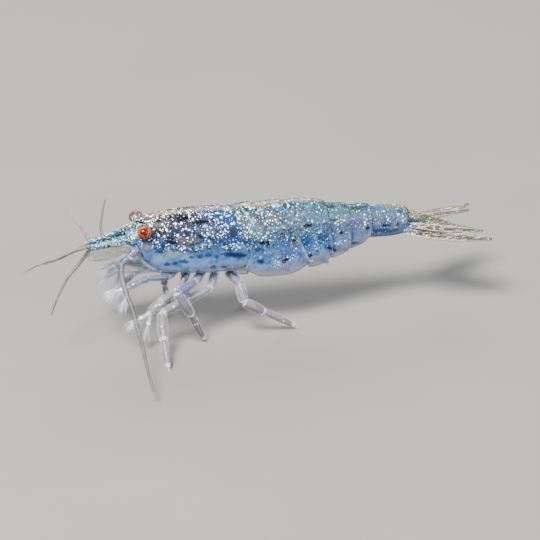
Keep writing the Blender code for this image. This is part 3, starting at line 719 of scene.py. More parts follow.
def trunkPlace(front, rear, edge, edgeShare, s, q, lift=0.0, swell=0.0):
    # The trunk's surface: s runs from the front cut to the rear one, q from -1 at the left lower edge
    # over the back to 1 at the right one. lift raises the lower edge and swell stands the skin out.
    xBack = front[0] + (rear[0] - front[0]) * s
    xEdge = front[1] + (rear[1] - front[1]) * s
    top = smooth(trunkLines["back"], xBack)
    low = smooth(edge, xEdge) + lift
    wide = smooth(trunkLines["halfWidth"], 0.5 * (xBack + xEdge))
    edgeWide = edgeShare * wide
    waist = low + trunkLines["waist"] * (top - low)
    h = abs(q)
    if h <= 0.5:
        turn = math.pi * h
        y, z = wide * math.sin(turn), waist + (top - waist) * math.cos(turn)
        outY, outZ = math.sin(turn), math.cos(turn)
    else:
        turn = math.pi * (h - 0.5)
        y, z = edgeWide + (wide - edgeWide) * math.cos(turn), waist - (waist - low) * math.sin(turn)
        outY, outZ = 1, 0
    x = xBack + (xEdge - xBack) * (top - z) / (top - low)
    y, z = y + swell * outY, z + swell * outZ
    return Vector((x, math.copysign(y, q), z)), (z - low) / (top - low)


# Marks on the trunk by kind: place along it and round it from the back line, half-length, half-height, rise
# to the front in degrees, strength. "bright" ones crowd the reflecting cells. The others are coloured by
# shellLook's marks.
trunkMarks = {
    "dark": [
        (-7.95, 0.86, 0.24, 0.16, 0, 1), (-6.35, 0.89, 0.42, 0.20, 0, 1), (-5.21, 1.26, 0.60, 0.11, 0, 1),
        (-7.30, 2.56, 0.26, 0.15, 20, 1), (-5.32, 2.24, 0.30, 0.11, 35, 0.9),
        (-3.04, 1.96, 0.20, 0.28, 0, 0.72), (-1.01, 2.88, 0.24, 0.12, 0, 1),
        (-0.62, 2.94, 0.12, 0.20, 0, 0.8), (1.21, 3.20, 0.17, 0.10, 0, 1),
        (-1.15, 4.24, 0.13, 0.07, 30, 0.9), (0.58, 4.56, 0.29, 0.15, 0, 1),
        (2.36, 4.47, 0.30, 0.11, -20, 1), (3.94, 3.61, 0.34, 0.10, -5, 1), (5.70, 2.90, 0.22, 0.07, 5, 0.8),
        (2.29, 2.02, 0.44, 0.13, 0, 0.75), (4.18, 1.28, 0.32, 0.10, 0, 0.8), (4.67, 2.16, 0.14, 0.12, 0, 1),
        (6.58, 1.77, 0.15, 0.13, 0, 1), (7.89, 1.49, 0.32, 0.10, 0, 0.7), (8.76, 1.41, 0.11, 0.16, 0, 0.7),
    ],
    "brown": [
        (-7.50, 0.95, 0.34, 0.10, 10, 1), (-6.45, 2.54, 0.42, 0.30, 30, 1.1),
        (-5.80, 2.40, 0.36, 0.22, 30, 1.0), (1.23, 3.28, 0.24, 0.26, 0, 1),
        (-0.50, 4.00, 0.34, 0.22, 0, 0.7), (-2.31, 1.39, 0.38, 0.22, 0, 0.8),
        (-0.14, 1.28, 0.40, 0.34, 0, 0.8),
    ],
    "ink": [
        (-6.69, 1.72, 0.50, 0.18, 15, 0.75), (-2.88, 3.84, 0.66, 0.12, 10, 1.2),
        (-3.02, 1.98, 0.32, 0.38, 0, 1.3),
    ],
    "rose": [
        (-8.80, 2.85, 0.40, 0.30, 0, 0.6), (-5.70, 4.40, 0.40, 0.16, 0, 0.5),
        (9.05, 1.10, 0.30, 0.30, 0, 0.35), (4.60, 3.90, 0.60, 0.18, 0, 0.7),
    ],
    "teal": [
        (-8.02, 3.26, 0.34, 0.12, 0, 0.85), (-5.95, 3.80, 0.16, 0.12, 0, 0.8),
        (4.05, 0.10, 0.55, 0.40, 0, 1), (5.90, 0.15, 1.15, 0.30, 0, 1), (-1.94, 0.45, 0.50, 0.40, 0, 0.9),
        (0.90, 0.42, 0.80, 0.22, 0, 0.8),
    ],
    "mist": [
        (-7.95, 3.66, 0.50, 0.26, 0, 0.7), (-7.20, 3.50, 0.70, 0.24, 0, 0.8),
        (-6.20, 3.60, 0.60, 0.16, 0, 0.5),
    ],
    "blue": [
        (-4.12, 2.69, 0.50, 0.13, 5, 1), (-2.95, 2.58, 0.50, 0.14, 0, 1), (-3.05, 3.12, 0.72, 0.34, 0, 0.9),
        (-3.02, 3.83, 0.92, 0.20, 10, 1.1), (-8.13, 2.98, 0.28, 0.13, 0, 1.1),
        (-6.45, 3.20, 0.42, 0.12, 10, 1), (-7.55, 4.24, 0.21, 0.13, 0, 1.1),
        (-7.03, 4.18, 0.18, 0.13, 0, 1.1), (-6.46, 4.06, 0.33, 0.14, 8, 1.1),
        (-5.34, 3.74, 0.22, 0.17, 0, 1.1), (-4.80, 3.70, 0.26, 0.14, 5, 1.1),
        (-4.23, 3.88, 0.14, 0.20, 0, 1.1), (-4.45, 4.66, 0.24, 0.15, 0, 0.9),
        (-3.75, 4.72, 0.22, 0.14, 0, 0.9), (-4.39, 0.67, 0.42, 0.22, 0, 0.7),
        (-3.74, 0.59, 0.28, 0.26, 0, 1), (-2.85, 1.24, 0.30, 0.55, 0, 1.1),
        (-3.05, 1.85, 0.50, 0.62, 0, 1.2), (-2.58, 1.65, 0.16, 0.70, 0, 1), (-2.30, 2.76, 0.42, 0.20, 0, 1),
        (-1.15, 4.24, 0.28, 0.18, 30, 1.2), (3.90, 3.58, 0.52, 0.20, -5, 1),
        (5.70, 2.89, 0.42, 0.15, 5, 1.2), (2.05, 3.18, 0.45, 0.45, 0, 0.7),
        (-1.34, 3.31, 0.24, 0.18, 0, 1.2), (7.93, 1.86, 0.90, 0.22, 0, 0.85),
        (9.12, 0.62, 0.26, 0.15, 0, 1),
    ],
    "bright": [
        (-2.92, 3.14, 0.72, 0.34, 0, 1.5), (-3.09, 0.34, 0.60, 0.30, 0, 1),
        (0.42, 4.56, 0.95, 0.60, 0, 0.9), (-1.75, 1.25, 1.0, 0.12, 65, 1.3),
        (8.80, 0.45, 0.60, 0.34, 0, 0.8), (0.28, 0.40, 0.50, 0.40, 0, 0.9), (-1.50, 2.10, 1.00, 0.80, 0, 1),
        (1.73, 1.63, 0.28, 0.38, 0, 1), (3.01, 2.35, 0.34, 0.44, 0, 1), (4.55, 1.75, 0.28, 0.52, 0, 1),
        (6.50, 1.33, 0.26, 0.56, 0, 1), (2.95, 3.70, 0.36, 0.30, 0, 0.9), (9.18, 0.95, 0.30, 0.30, 0, 1),
    ],
    # Pale patches, and the bright ones at the same places, are painted highlight where the shell glares, laid
    # over crowded reflecting cells.
    "pale": [
        (-3.09, 0.40, 0.34, 0.16, 0, 0.6), (-1.75, 1.25, 0.90, 0.08, 65, 0.6),
        (0.28, 0.46, 0.26, 0.20, 0, 0.7), (-1.50, 2.00, 0.70, 0.60, 0, 0.28),
        (-2.75, 3.16, 0.50, 0.20, 0, 0.42),
    ],
    # Gold along the back line is partly gold colour and partly painted highlight where light catches the top
    # edge.
    "gold": [
        (2.80, 0.0, 1.20, 0.22, 0, 1), (-0.60, 0.0, 1.90, 0.42, 0, 0.62), (8.90, 0.10, 0.80, 0.20, 0, 0.9),
        (-7.60, 0.0, 1.30, 0.34, 0, 0.7), (-4.60, 0.0, 1.60, 0.36, 0, 0.55),
        (-1.32, 0.05, 0.40, 0.22, 0, 0.9),
    ],
}


def markTrunk(shape, places):
    # places holds each point's place along and round the trunk.
    x, around = (np.array([p[k] for p in places]) for k in (0, 1))
    for kind, marks in trunkMarks.items():
        strongest = 0
        for atX, atAround, long, tall, rise, strength in marks:
            c, s = math.cos(math.radians(rise)), math.sin(math.radians(rise))
            dx, da = x - atX, around - atAround
            u, v = (dx * c + da * s) / long, (da * c - dx * s) / tall
            strongest = np.maximum(strongest, strength * np.exp(-0.7 * (u * u + v * v) ** 1.5))
        own = shape["values"].get(kind, {})
        shape["values"][kind] = {k: max(value, own.get(k, 0)) for k, value in enumerate(strongest.tolist())}


def trunkShell(spans, columns, skinAt):
    # skinAt gives a point, t of the way back and q round the trunk, and what the point carries.
    shape, places, rows = newShape(), [], []
    for i in range(spans + 1):
        found = [skinAt(i / spans, -1 + 2 * j / columns) for j in range(columns + 1)]
        rows.append([addPoint(shape, p, **values) for p, values in found])
        # How far round the trunk each point of the row lies, from the back line down.
        around = [0.0] * len(found)
        for step in (1, -1):
            k = len(found) // 2
            while 0 <= k + step < len(found):
                around[k + step] = around[k] + (found[k + step][0] - found[k][0]).length
                k += step
        places += [(p.x, a) for (p, values), a in zip(found, around)]
    addGrid(shape, rows)
    markTrunk(shape, places)
    return shape, rows


carapaceLook = {
    "rows": 72, "columns": 132, "wall": 0.07,
    # How far these stand in or out: the groove behind the jaws, the gill cover, the brow over the eye, and
    # the rim, which is turned in at the front and flared at the rear.
    "groove": 0.05, "gillCover": 0.04, "brow": 0.05, "turnedRim": 0.06, "flare": 0.05,
    # The front margin, as x against how far round it is: a hollow for the eye with a spine below it.
    "margin": [
        (0.0, -9.45), (0.09, -9.10), (0.18, -8.74), (0.28, -8.66), (0.37, -8.84), (0.43, -9.30),
        (0.48, -9.20), (0.60, -9.24), (0.76, -9.02), (0.90, -8.62), (1.0, -8.05),
    ],
    # The rear margin in the same way: hollow at the back and full over the gills.
    "rearMargin": [
        (0.0, -2.80), (0.30, -2.74), (0.45, -2.50), (0.58, -2.08), (0.70, -1.98), (0.82, -2.22),
        (0.92, -2.62), (1.0, -3.05),
    ],
    "edgeShare": 0.86, "glints": 0.9,
}


def makeCarapace():
    look = carapaceLook

    def skinAt(s, q):
        h = abs(q)
        margin, rear = smooth(look["margin"], h), smooth(look["rearMargin"], h)
        swell = -look["groove"] * hump(s, 0.30 + 0.22 * h, 0.03) * ease(0.15, 0.4, h)
        swell += look["gillCover"] * math.sin(math.pi * s) * ease(0.55, 0.75, h) * (1 - ease(0.9, 1, h))
        swell += look["brow"] * hump(h, 0.30, 0.10) * hump(s, 0, 0.05)
        swell -= look["turnedRim"] * hump(s, 0, 0.02) * ease(0.5, 0.7, h)
        swell += look["flare"] * ease(0.86, 0.99, s) * ease(0.42, 0.58, h)
        edge = trunkLines["carapaceEdge"]
        p, high = trunkPlace((margin, margin), (rear, rear), edge, look["edgeShare"], s, q, 0, swell)
        lip = ease(0.985, 1, s) * (0.15 + 0.7 * ease(0.5, 0.7, h)) + 0.8 * ease(0.985, 1, h)
        lip += 0.8 * (1 - ease(0, 0.012, s)) * ease(0.2, 0.5, h)
        band = hump(s, 0.955, 0.030) * ease(0.06, 0.16, h) * (1 - ease(0.40, 0.55, h))
        return p, {"high": high, "lip": min(1, lip), "bright": look["glints"] * band}

    shape = trunkShell(look["rows"], look["columns"], skinAt)[0]
    addPiece("carapace_shell", shape, shell, ["carapace"], thickness=look["wall"])


ringLook = {
    "rows": 26, "columns": 112, "overlap": 0.14, "step": 0.055, "wall": 0.06, "dip": 0.03, "folds": 0.018,
    # For each ring: how far its corners are rounded up, front and rear, and how bright its rear edge is.
    "rounding": [(0.06, 0.10), (0.45, 0.55), (0.15, 0.55), (0.10, 0.42), (0.08, 0.30), (0, 0)],
    "glints": [0.9, 0.9, 0.9, 0.7, 0.7, 0.7],
    # How much of the trunk's width is left at the lower edge, on the plates and on the last ring's barrel.
    "edgeShare": 0.90, "barrelShare": 0.45,
}


def makeRing(k):
    look = ringLook
    barrel = k == 5
    front, rear = trunkLines["cuts"][k], trunkLines["cuts"][k + 1]
    edge = trunkLines["tailEdge" if barrel else "bellyEdge"]
    share = look["barrelShare" if barrel else "edgeShare"]
    reach = look["overlap"] / (rear[0] - front[0])
    roundFront, roundRear = look["rounding"][k]

    def skinAt(t, q):
        s = -0.6 * reach + (1 + 1.6 * reach) * t
        if barrel:
            s = min(s, 1)
        h = abs(q)
        flank = ease(0.40, 0.62, h)
        # Each ring lies over the next along the back. The second one's broad plates lie over both neighbours.
        over = look["step"] * (1 - 2 * flank if k == 0 else 1)
        under = -look["step"] * (1 - 2 * flank if k == 1 else 1)
        swell = under + (over - under) * ease(0.05, 0.92, s)
        near = ease(0.70, 1, h)
        lift = roundFront * (1 - ease(-0.05, 0.38, s)) ** 2 + roundRear * ease(0.62, 1.05, s) ** 2
        # A small dip where the next ring's hinge lies, and soft folds down the flank.
        swell -= look["dip"] * hump(s, 0.16, 0.06) * (1 - near)
        swell += look["folds"] * math.sin(9 * s + 5 * h) * flank * (1 - near)
        p, high = trunkPlace(front, rear, edge, share, s, q, lift * near, swell)
        # Reflecting cells crowd along each ring's rear edge, in a line that slants down and back.
        band = hump(s, 0.86 + 0.10 * h, 0.05) * ease(0.06, 0.16, h) * (1 - ease(0.44, 0.58, h))
        lip = max(ease(0.95, 1, t) * (0.2 + 0.8 * ease(0.42, 0.6, h)), 0.8 * ease(0.980, 1, h))
        return p, {"high": high, "lip": lip, "bright": look["glints"][k] * band}

    shape, rows = trunkShell(look["rows"], look["columns"], skinAt)
    if barrel:
        # The barrel is closed: its floor joins the two lower edges.
        addGrid(shape, [[row[-1], row[0]] for row in rows])
    addPiece(f"tail_ring_{k + 1}_shell", shape, shell, [f"tail_ring_{k + 1}"], thickness=look["wall"])


muscleLook = {
    "front": -8.9, "length": 18.3, "spans": 44, "count": 28,
    # How far it stays inside the shell: under the back, over the edges of tail and belly, and at the sides.
    "underBack": 0.22, "overTail": 0.12, "overBelly": 0.95, "width": 0.84, "inside": 0.10,
}


def makeMuscle():
    # The meat inside the shell and the breast under it, seen through the clear lower edges.
    look = muscleLook

    def fleshAt(t, a):
        x = look["front"] + look["length"] * t
        top = smooth(trunkLines["back"], x) - look["underBack"]
        chest = smooth(trunkLines["chestKeel"], x)
        tail = smooth(trunkLines["tailEdge"], x) + look["overTail"]
        belly = smooth(trunkLines["bellyEdge"], x) + look["overBelly"]
        low = chest + (belly - chest) * ease(-3.2, -2.4, x)
        low += (tail - low) * ease(6.3, 7.0, x)
        wide = smooth(trunkLines["halfWidth"], x) * look["width"] - look["inside"]
        wide *= 1 - 0.45 * ease(9.0, 9.4, x)
        y, z = math.sin(a), math.cos(a)
        narrow = (1 - 0.28 * ease(0.1, 1, -z)) * (1 + 0.015 * math.sin(9 * x + 2 * a))
        return Vector((x, y * wide * narrow, 0.5 * (top + low + z * (top - low)))), {}

    shape = newShape()
    addRings(shape, look["spans"], look["count"], fleshAt)
    addPiece("muscle", shape, muscle, ["chest"])


makeCarapace()
for k in range(6):
    makeRing(k)
makeMuscle()
print("trunk made")


# Head


headLook = {
    "spans": 22, "count": 32, "front": -10.05, "rear": -8.55,
    # How far it lies under the back's line and how much its top falls further, its floor and how that rises.
    "underBack": 0.10, "topFall": 0.42, "floor": 5.85, "floorRise": 0.95,
    "halfWidth": 0.98, "narrowing": 0.26, "betweenEyes": 0.42, "glints": 0.85,
}
mouthLook = {
    # Each jaw's root, tip, girth and flatness.
    "jaws": [
        ((-8.75, 0.34, 5.66), (-9.60, 0.16, 5.86), 0.26, 0.9),
        ((-8.70, 0.46, 5.52), (-9.72, 0.28, 5.62), 0.20, 0.5),
        ((-8.72, 0.56, 5.58), (-9.45, 0.50, 5.98), 0.16, 0.6),
    ],
    "sag": 0.06,
    # The plates' line along the front edge of the gill cover, and how far each lies below it and inside it.
    "plateLine": [
        (-9.34, 0.92, 6.45), (-9.15, 1.04, 5.85), (-8.62, 1.12, 5.38), (-7.9, 1.07, 5.02), (-7.1, 0.92, 4.86),
    ],
    "plates": [(0.0, 0.0), (0.16, 0.14), (0.30, 0.30)], "plateSpans": 21, "plateGirth": 0.05,
    "plateSwell": 0.07,
}


def makeHead():
    look = headLook

    def headAt(t, a):
        x = look["rear"] + (look["front"] - look["rear"]) * t
        top = smooth(trunkLines["back"], x) - look["underBack"] - look["topFall"] * ease(0.35, 1, t)
        middle = 0.5 * (top + look["floor"] + look["floorRise"] * ease(0.15, 1, t))
        # Full below the eyes, and narrow between them.
        wide = (look["halfWidth"] - look["narrowing"] * t) * (1 - 0.4 * ease(0.85, 1, t))
        y, z = math.sin(a), math.cos(a)
        slim = 1 - look["betweenEyes"] * ease(0.25, 0.85, z)
        p = Vector((x, y * wide * slim, middle + z * (top - middle)))
        return p, {"high": 0.22 + 0.45 * ease(-0.6, 0.7, z), "bright": look["glints"]}

    shape = newShape()
    addRings(shape, look["spans"], look["count"], headAt)
    addPiece("head_front", shape, solidShell, ["head"])


def makeMouth():
    # Jaws, and the thin plates that fold back along the front edge of the gill cover.
    look = mouthLook
    mouth = newShape()
    for side in (-1, 1):
        for start, end, girth, squash in look["jaws"]:
            line = between(sided(start, side), sided(end, side), 7)
            line = [p + Vector((0, 0, -look["sag"] * math.sin(math.pi * t / 7))) for t, p in enumerate(line)]
            radii = [girth * max(0.12, math.sin(math.pi * (0.16 + 0.84 * t / 7)) ** 0.7) for t in range(8)]
            addSweep(mouth, line, radii, 10, squash, valuesAt=lambda t: {"joint": 0.5 * ease(0.7, 1, t)})
        for lower, inner in look["plates"]:
            fold = [sided((x + 0.3 * lower, y - inner, z - lower), side) for x, y, z in look["plateLine"]]
            spans = look["plateSpans"]
            thin, swell = look["plateGirth"], look["plateSwell"]
            radii = [thin + swell * math.sin(math.pi * t / spans) for t in range(spans + 1)]
            addSweep(mouth, along(fold, spans + 1), radii, 8, valuesAt=lambda t: {"joint": 0.25})
    addPiece("mouth_plates", mouth, limb, ["mouthparts"])


rostrumLook = {
    # Its line slopes down by drop, in degrees. crest and keel are its heights over and under that line.
    "root": (-8.62, 0, 8.36), "length": 3.95, "drop": 16.5, "spans": 104, "count": 16,
    "teeth": 13, "firstTooth": 0.06, "toothSpan": 0.90, "toothHeight": 0.10, "crest": 0.26,
    "lowerTeeth": 3, "firstLower": 0.55, "lowerSpan": 0.35, "lowerHeight": 0.06, "keel": 0.24,
    "tipHeight": 0.02, "half": 0.13, "rootHalf": 0.50,
    # Hairs in each notch: how far up and ahead they point, and how far they bend ahead.
    "hairs": 3, "hairLength": 0.15, "hairRadius": 0.010, "hairUp": 0.9, "hairAhead": 0.6, "hairBend": 0.2,
}


def toothAt(t, first, span, teeth):
    # How far up its own slope a row's tooth is here, from 0 to 1.
    return ((t - first) / span * teeth) % 1 if first < t < first + span else 0


def makeRostrum():
    look = rostrumLook
    drop = math.radians(look["drop"])
    ahead = Vector((-math.cos(drop), 0, -math.sin(drop)))
    above = Vector((-math.sin(drop), 0, math.cos(drop)))
    root = Vector(look["root"])

    def bladeAt(t, a):
        tooth = toothAt(t, look["firstTooth"], look["toothSpan"], look["teeth"])
        lowerTooth = toothAt(t, look["firstLower"], look["lowerSpan"], look["lowerTeeth"])
        crest = look["crest"] * (1 - t) ** 0.8 + look["tipHeight"]
        crest += look["toothHeight"] * tooth**1.3 * (1 - 0.45 * t)
        keel = look["keel"] * (1 - t) ** 0.6 + look["tipHeight"] + look["lowerHeight"] * lowerTooth**1.4
        half = look["half"] * (1 - 0.75 * t) + look["rootHalf"] * hump(t, 0, 0.07) + 0.10 * hump(t, 0, 0.2)
        v = math.cos(a)
        # A lens across, with a rib along its middle.
        y = half * math.sin(a) * (0.45 + 0.55 * abs(math.sin(a)) ** 3)
        p = root + ahead * (look["length"] * t) + above * (v * (crest if v > 0 else keel)) + Vector((0, y, 0))
        # The gold on the blade's top near its root is partly painted highlight.
        lip, gold = 0.4 * tooth * ease(0.5, 1, v), hump(t, 0.30, 0.10) * ease(-0.2, 0.6, v)
        return p, {"high": 0.80 + 0.1 * v, "lip": lip, "bright": 1, "gold": gold}

    shape, hairs = newShape(), newShape()
    addRings(shape, look["spans"], look["count"], bladeAt)
    addPiece("rostrum_blade", shape, solidShell, ["rostrum"])
    for k in range(look["teeth"]):
        for n in range(look["hairs"]):
            t = look["firstTooth"] + look["toothSpan"] * (k + 0.25 + 0.25 * n) / look["teeth"]
            p = root + ahead * (look["length"] * t) + above * (look["crest"] * (1 - t) ** 0.8 + 0.03)
            aim = (above * look["hairUp"] + ahead * look["hairAhead"]).normalized()
            bend = ahead * look["hairBend"]
            addBristle(hairs, p, aim, look["hairLength"], look["hairRadius"], bend, (t, 0.5))
    addPiece("rostrum_bristles", hairs, hair, ())


eyeShape = {
    "centre": (-9.04, 1.18, 8.12), "cup": (-8.98, 0.30, 8.02), "facing": (-0.22, 0.80, 0.54), "radius": 0.452,
    "long": 1.08, "tall": 0.90, "rings": 26, "count": 36, "stalkSpans": 14, "stalkRadius": 0.25,
    "stalkSwell": 0.06, "cupSwell": 0.11, "stalkReach": 0.74,
}


def makeEye(name, side):
    look = eyeShape
    centre, cup = sided(look["centre"], side), sided(look["cup"], side)
    facing = sided(look["facing"], side).normalized()
    outwards = (centre - cup).normalized()
    level = outwards.cross(Vector((0, 0, 1))).normalized()
    upright = outwards.cross(level)
    radius = look["radius"]
    shape, rows = newShape(), []
    for i in range(1, look["rings"]):
        a = math.pi * i / look["rings"]
        # A little flatter where the stalk holds it.
        away = radius * (1 - 0.05 * ease(0.6, 1, a / math.pi))
        row = []
        for n in range(look["count"]):
            b = math.tau * n / look["count"]
            aim = outwards * math.cos(a) + (level * math.cos(b) + upright * math.sin(b)) * math.sin(a)
            oval = Vector((look["long"] * aim.x, aim.y, look["tall"] * aim.z))
            row.append(addPoint(shape, centre + oval * away))
        rows.append(row)
    addGrid(shape, rows, wrap=True)
    closeEnds(shape, rows, [addPoint(shape, centre + outwards * radius * end) for end in (1, -0.95)])
    # For the right eye these colours carry painted shade.
    rim, iris = eyeLook["rim"][name], eyeLook["iris"][name]
    cornea = compoundEye(f"faceted cornea {name}", centre, facing, rim, iris)
    addPiece(f"eye_{name}_cornea", shape, cornea, [f"eye_{name}"])
    stalk = newShape()
    spans = look["stalkSpans"]
    line = between(cup, cup.lerp(centre, look["stalkReach"]), spans)
    radii = [
        look["stalkRadius"] + look["stalkSwell"] * k / spans + look["cupSwell"] * ease(0.45, 0.95, k / spans)
        for k in range(spans + 1)
    ]
    addSweep(stalk, line, radii, 28, valuesAt=lambda t: {
        "high": 0.64, "lip": 0.15 * ease(0.80, 0.97, t), "bright": 0.85})
    addPiece(f"eyestalk_{name}_cup", stalk, solidShell, [f"eyestalk_{name}"])


makeHead()
makeMouth()
makeRostrum()
for name, side in sides.items():
    makeEye(name, side)
print("head made")


# Limbs and feelers


# An article narrows to neck at its joints and has a raised rim at its far one. The strand of muscle inside it
# stops short of both, and its girths are the share of the article's at its ends and what it gains between.
articleLook = {
    "rows": 26, "count": 16, "neck": 0.74, "rim": 0.08,
    "strandSpans": 14, "strandStart": 0.025, "strandGirths": (0.30, 0.44),
}


def addArticle(shape, inside, a, b, girth, neck=articleLook["neck"], taper=0.9):
    # One article of a limb: narrow at its joints, swollen between them, over a strand of muscle.
    look = articleLook
    radii = []
    for k in range(look["rows"] + 1):
        t = k / look["rows"]
        swell = neck + (1 - neck) * math.sin(math.pi * min(1, 0.04 + t * 0.97)) ** 0.7
        radii.append(girth * (swell * (1 + (taper - 1) * t) + look["rim"] * hump(t, 0.96, 0.05)))
    radii[0] *= 0.75
    radii[-1] *= 0.75
    addSweep(shape, between(a, b, look["rows"]), radii, look["count"], valuesAt=lambda t: {
        "joint": 0.55 * max(hump(t, 0, 0.022), hump(t, 0.98, 0.024))})
    if inside is not None:
        spans, start = look["strandSpans"], look["strandStart"]
        strand = [a.lerp(b, start + (1 - 2 * start) * k / spans) for k in range(spans + 1)]
        bulge = [math.sin(math.pi * (k + 0.6) / (spans + 1.2)) ** 0.42 for k in range(spans + 1)]
        thin, swell = look["strandGirths"]
        addSweep(inside, strand, [girth * (thin + swell * b) for b in bulge])


def addTuft(hairs, root, aim, spread, count, length, row, radius, droop=Vector((0, 0, -0.15))):
    # A fan of bristles from one place.
    for n in range(count):
        wobble = Vector([dice.uniform(-1, 1) for _ in range(3)]) * spread
        away = (aim + wobble).normalized()
        start = root + Vector([dice.uniform(-1, 1) for _ in range(3)]) * 0.03
        patch = (0.02 + 0.96 * (n + 0.5) / count, row)
        addBristle(hairs, start, away, length * dice.uniform(0.65, 1), radius, droop, patch)


legLook = {
    # dactyl is the last article's length, ankle the least height of its root, and curl how far it hooks.
    "girths": [0.37, 0.36, 0.375, 0.30], "tapers": [0.95, 0.95, 0.95, 0.66],
    "coxa": [0.24, 0.33, 0.26], "dactyl": 0.40, "ankle": 0.34, "clawRadius": 0.17, "clawTaper": 0.0145,
    "curl": 0.05, "spines": 5, "spineLength": 0.10, "spineRadius": 0.014, "hairsAlong": 9,
    # Hairs start at hairRoot from the middle of an article.
    "hairTurns": (0.6, 2.4), "hairLength": 0.16, "hairRadius": 0.009, "hairRoot": 0.14,
}
# Each leg's joints, from the hip to the foot.
walkingLegs = {
    "front_left": [
        (-5.02, 0.80, 4.35), (-5.67, 1.60, 4.08), (-7.23, 2.80, 4.08), (-6.28, 2.80, 2.30), (-5.24, 2.60, 0),
    ],
    "middle_left": [
        (-4.10, 0.80, 4.20), (-4.52, 1.40, 3.43), (-8.27, 2.60, 2.58), (-8.57, 4.30, 1.49), (-8.66, 6.03, 0),
    ],
    "rear_left": [
        (-3.20, 0.80, 4.12), (-2.56, 1.60, 3.49), (-2.48, 2.40, 2.49), (-1.15, 2.50, 1.66), (1.23, 2.50, 0),
    ],
    "front_right": [
        (-5.02, 0.80, 4.35), (-5.50, 1.55, 4.00), (-6.60, 2.95, 3.45), (-6.70, 2.90, 1.70), (-6.40, 2.37, 0),
    ],
    "middle_right": [
        (-4.10, 0.80, 4.20), (-4.35, 1.55, 3.75), (-5.20, 2.95, 3.30), (-5.30, 2.90, 1.65), (-5.00, 2.50, 0),
    ],
    "rear_right": [
        (-3.20, 0.80, 4.12), (-2.80, 1.55, 3.50), (-2.30, 2.45, 2.65), (-1.60, 2.45, 1.45), (-1.00, 2.00, 0),
    ],
}


def makeWalkingLeg(place, joints):
    look = legLook
    side = sides[place.split("_")[1]]
    points = [sided(p, side) for p in joints]
    shape, inside, hairs = newShape(), newShape(), newShape()
    hip, foot = points[0], points[-1]
    shin = (foot - points[-2]).normalized()
    ankle = foot - shin * look["dactyl"]
    ankle.z = max(ankle.z, look["ankle"])
    line = points[:-1] + [ankle]
    coxa = [hip + Vector((0, 0, 0.18)), hip + Vector((0, 0, 0.05)), hip.lerp(points[1], 0.3)]
    addSweep(shape, coxa, look["coxa"], 14, valuesAt=lambda t: {"joint": 0.3 * t})
    for k, (girth, taper) in enumerate(zip(look["girths"], look["tapers"])):
        addArticle(shape, inside, line[k], line[k + 1], girth, taper=taper)
    # The last article is a short claw with a hooked tip and small spines beneath.
    curl = Vector((shin.x, shin.y, 0)) * look["curl"]
    hook = foot + Vector((0, 0, 0.03)) - curl * 0.4
    claw = [ankle, ankle.lerp(foot, 0.35), ankle.lerp(foot, 0.7) + curl, hook]
    radii = [look["clawRadius"] - look["clawTaper"] * k for k in range(10)]
    addSweep(shape, along(claw, 10), radii, valuesAt=lambda t: {"joint": 0.5 * hump(t, 0.1, 0.12)})
    for k in range(look["spines"]):
        aim = (Vector((0, 0, -0.5)) + shin * 0.9 + Vector((0.2, 0, 0))).normalized()
        root = ankle.lerp(foot, 0.15 + 0.15 * k)
        length, radius = look["spineLength"], look["spineRadius"]
        addBristle(hairs, root, aim, length, radius, shin * 0.1, (0.1 * k + 0.2, 0.9))
    length, radius = look["hairLength"], look["hairRadius"]
    for k in (2, 3):
        for n in range(look["hairsAlong"]):
            t = (n + 0.8) / 9.6
            p = line[k].lerp(line[k + 1], t)
            for turn in look["hairTurns"]:
                aim = (Vector((math.cos(turn + n), math.sin(turn + n), -0.35)) + shin).normalized()
                patch = (t, 0.2 * k + 0.1 * turn)
                addBristle(hairs, p + aim * look["hairRoot"], aim, length, radius, shin * 0.2, patch)
    addPiece(f"walking_leg_{place}_skin", shape, limb, [f"walking_leg_{place}"])
    addPiece(f"walking_leg_{place}_core", inside, core, ())
    addPiece(f"walking_leg_{place}_bristles", hairs, hair, ())


clawLook = {
    "girths": [0.28, 0.27, 0.30], "tapers": [0.9, 0.9, 1.05], "neck": 0.80, "palm": 0.38, "palmFlat": 0.8,
    "finger": 0.20, "fingerFlat": 0.7, "strand": 0.62,
    # How much of the way to the bristles' tips each finger takes up, and its row on the unwrap.
    "fingers": ((0.50, 0.25), (0.62, 0.65)),
    # The tuft at each finger's tip, and smaller ones along it.
    "bristles": 75, "length": 1.35, "spread": 0.34, "droop": -0.30, "radius": 0.010,
    "sideTufts": (3, 5, 7), "sideBristles": 12, "sideLength": 0.6, "sideSpread": 0.3, "sideRadius": 0.012,
}
# Each feeding leg's joints, then where its palm ends and where the bristles of its two fingers point.
clawedLegs = {
    "first_left": (
        [(-6.78, 0.75, 4.70), (-7.40, 1.20, 4.52), (-8.91, 1.60, 4.84), (-9.50, 1.70, 4.77)],
        [(-10.20, 1.80, 4.50), (-11.70, 1.90, 4.26), (-10.72, 1.90, 3.30)],
    ),
    "second_left": (
        [(-5.92, 0.78, 4.55), (-6.50, 1.25, 3.95), (-7.00, 1.62, 3.58), (-8.20, 2.10, 3.20)],
        [(-8.95, 2.25, 2.62), (-10.50, 2.50, 1.98), (-9.30, 2.55, 1.30)],
    ),
    "first_right": (
        [(-6.78, 0.75, 4.70), (-7.50, 1.25, 4.40), (-8.60, 1.75, 4.15), (-9.25, 1.80, 4.30)],
        [(-9.95, 1.75, 4.45), (-11.10, 1.55, 4.05), (-10.30, 1.65, 3.30)],
    ),
    "second_right": (
        [(-5.92, 0.78, 4.55), (-6.60, 1.60, 4.20), (-7.90, 2.60, 3.55), (-8.80, 2.75, 2.95)],
        [(-9.55, 2.70, 2.45), (-10.70, 2.55, 1.75), (-9.85, 2.60, 1.25)],
    ),
}


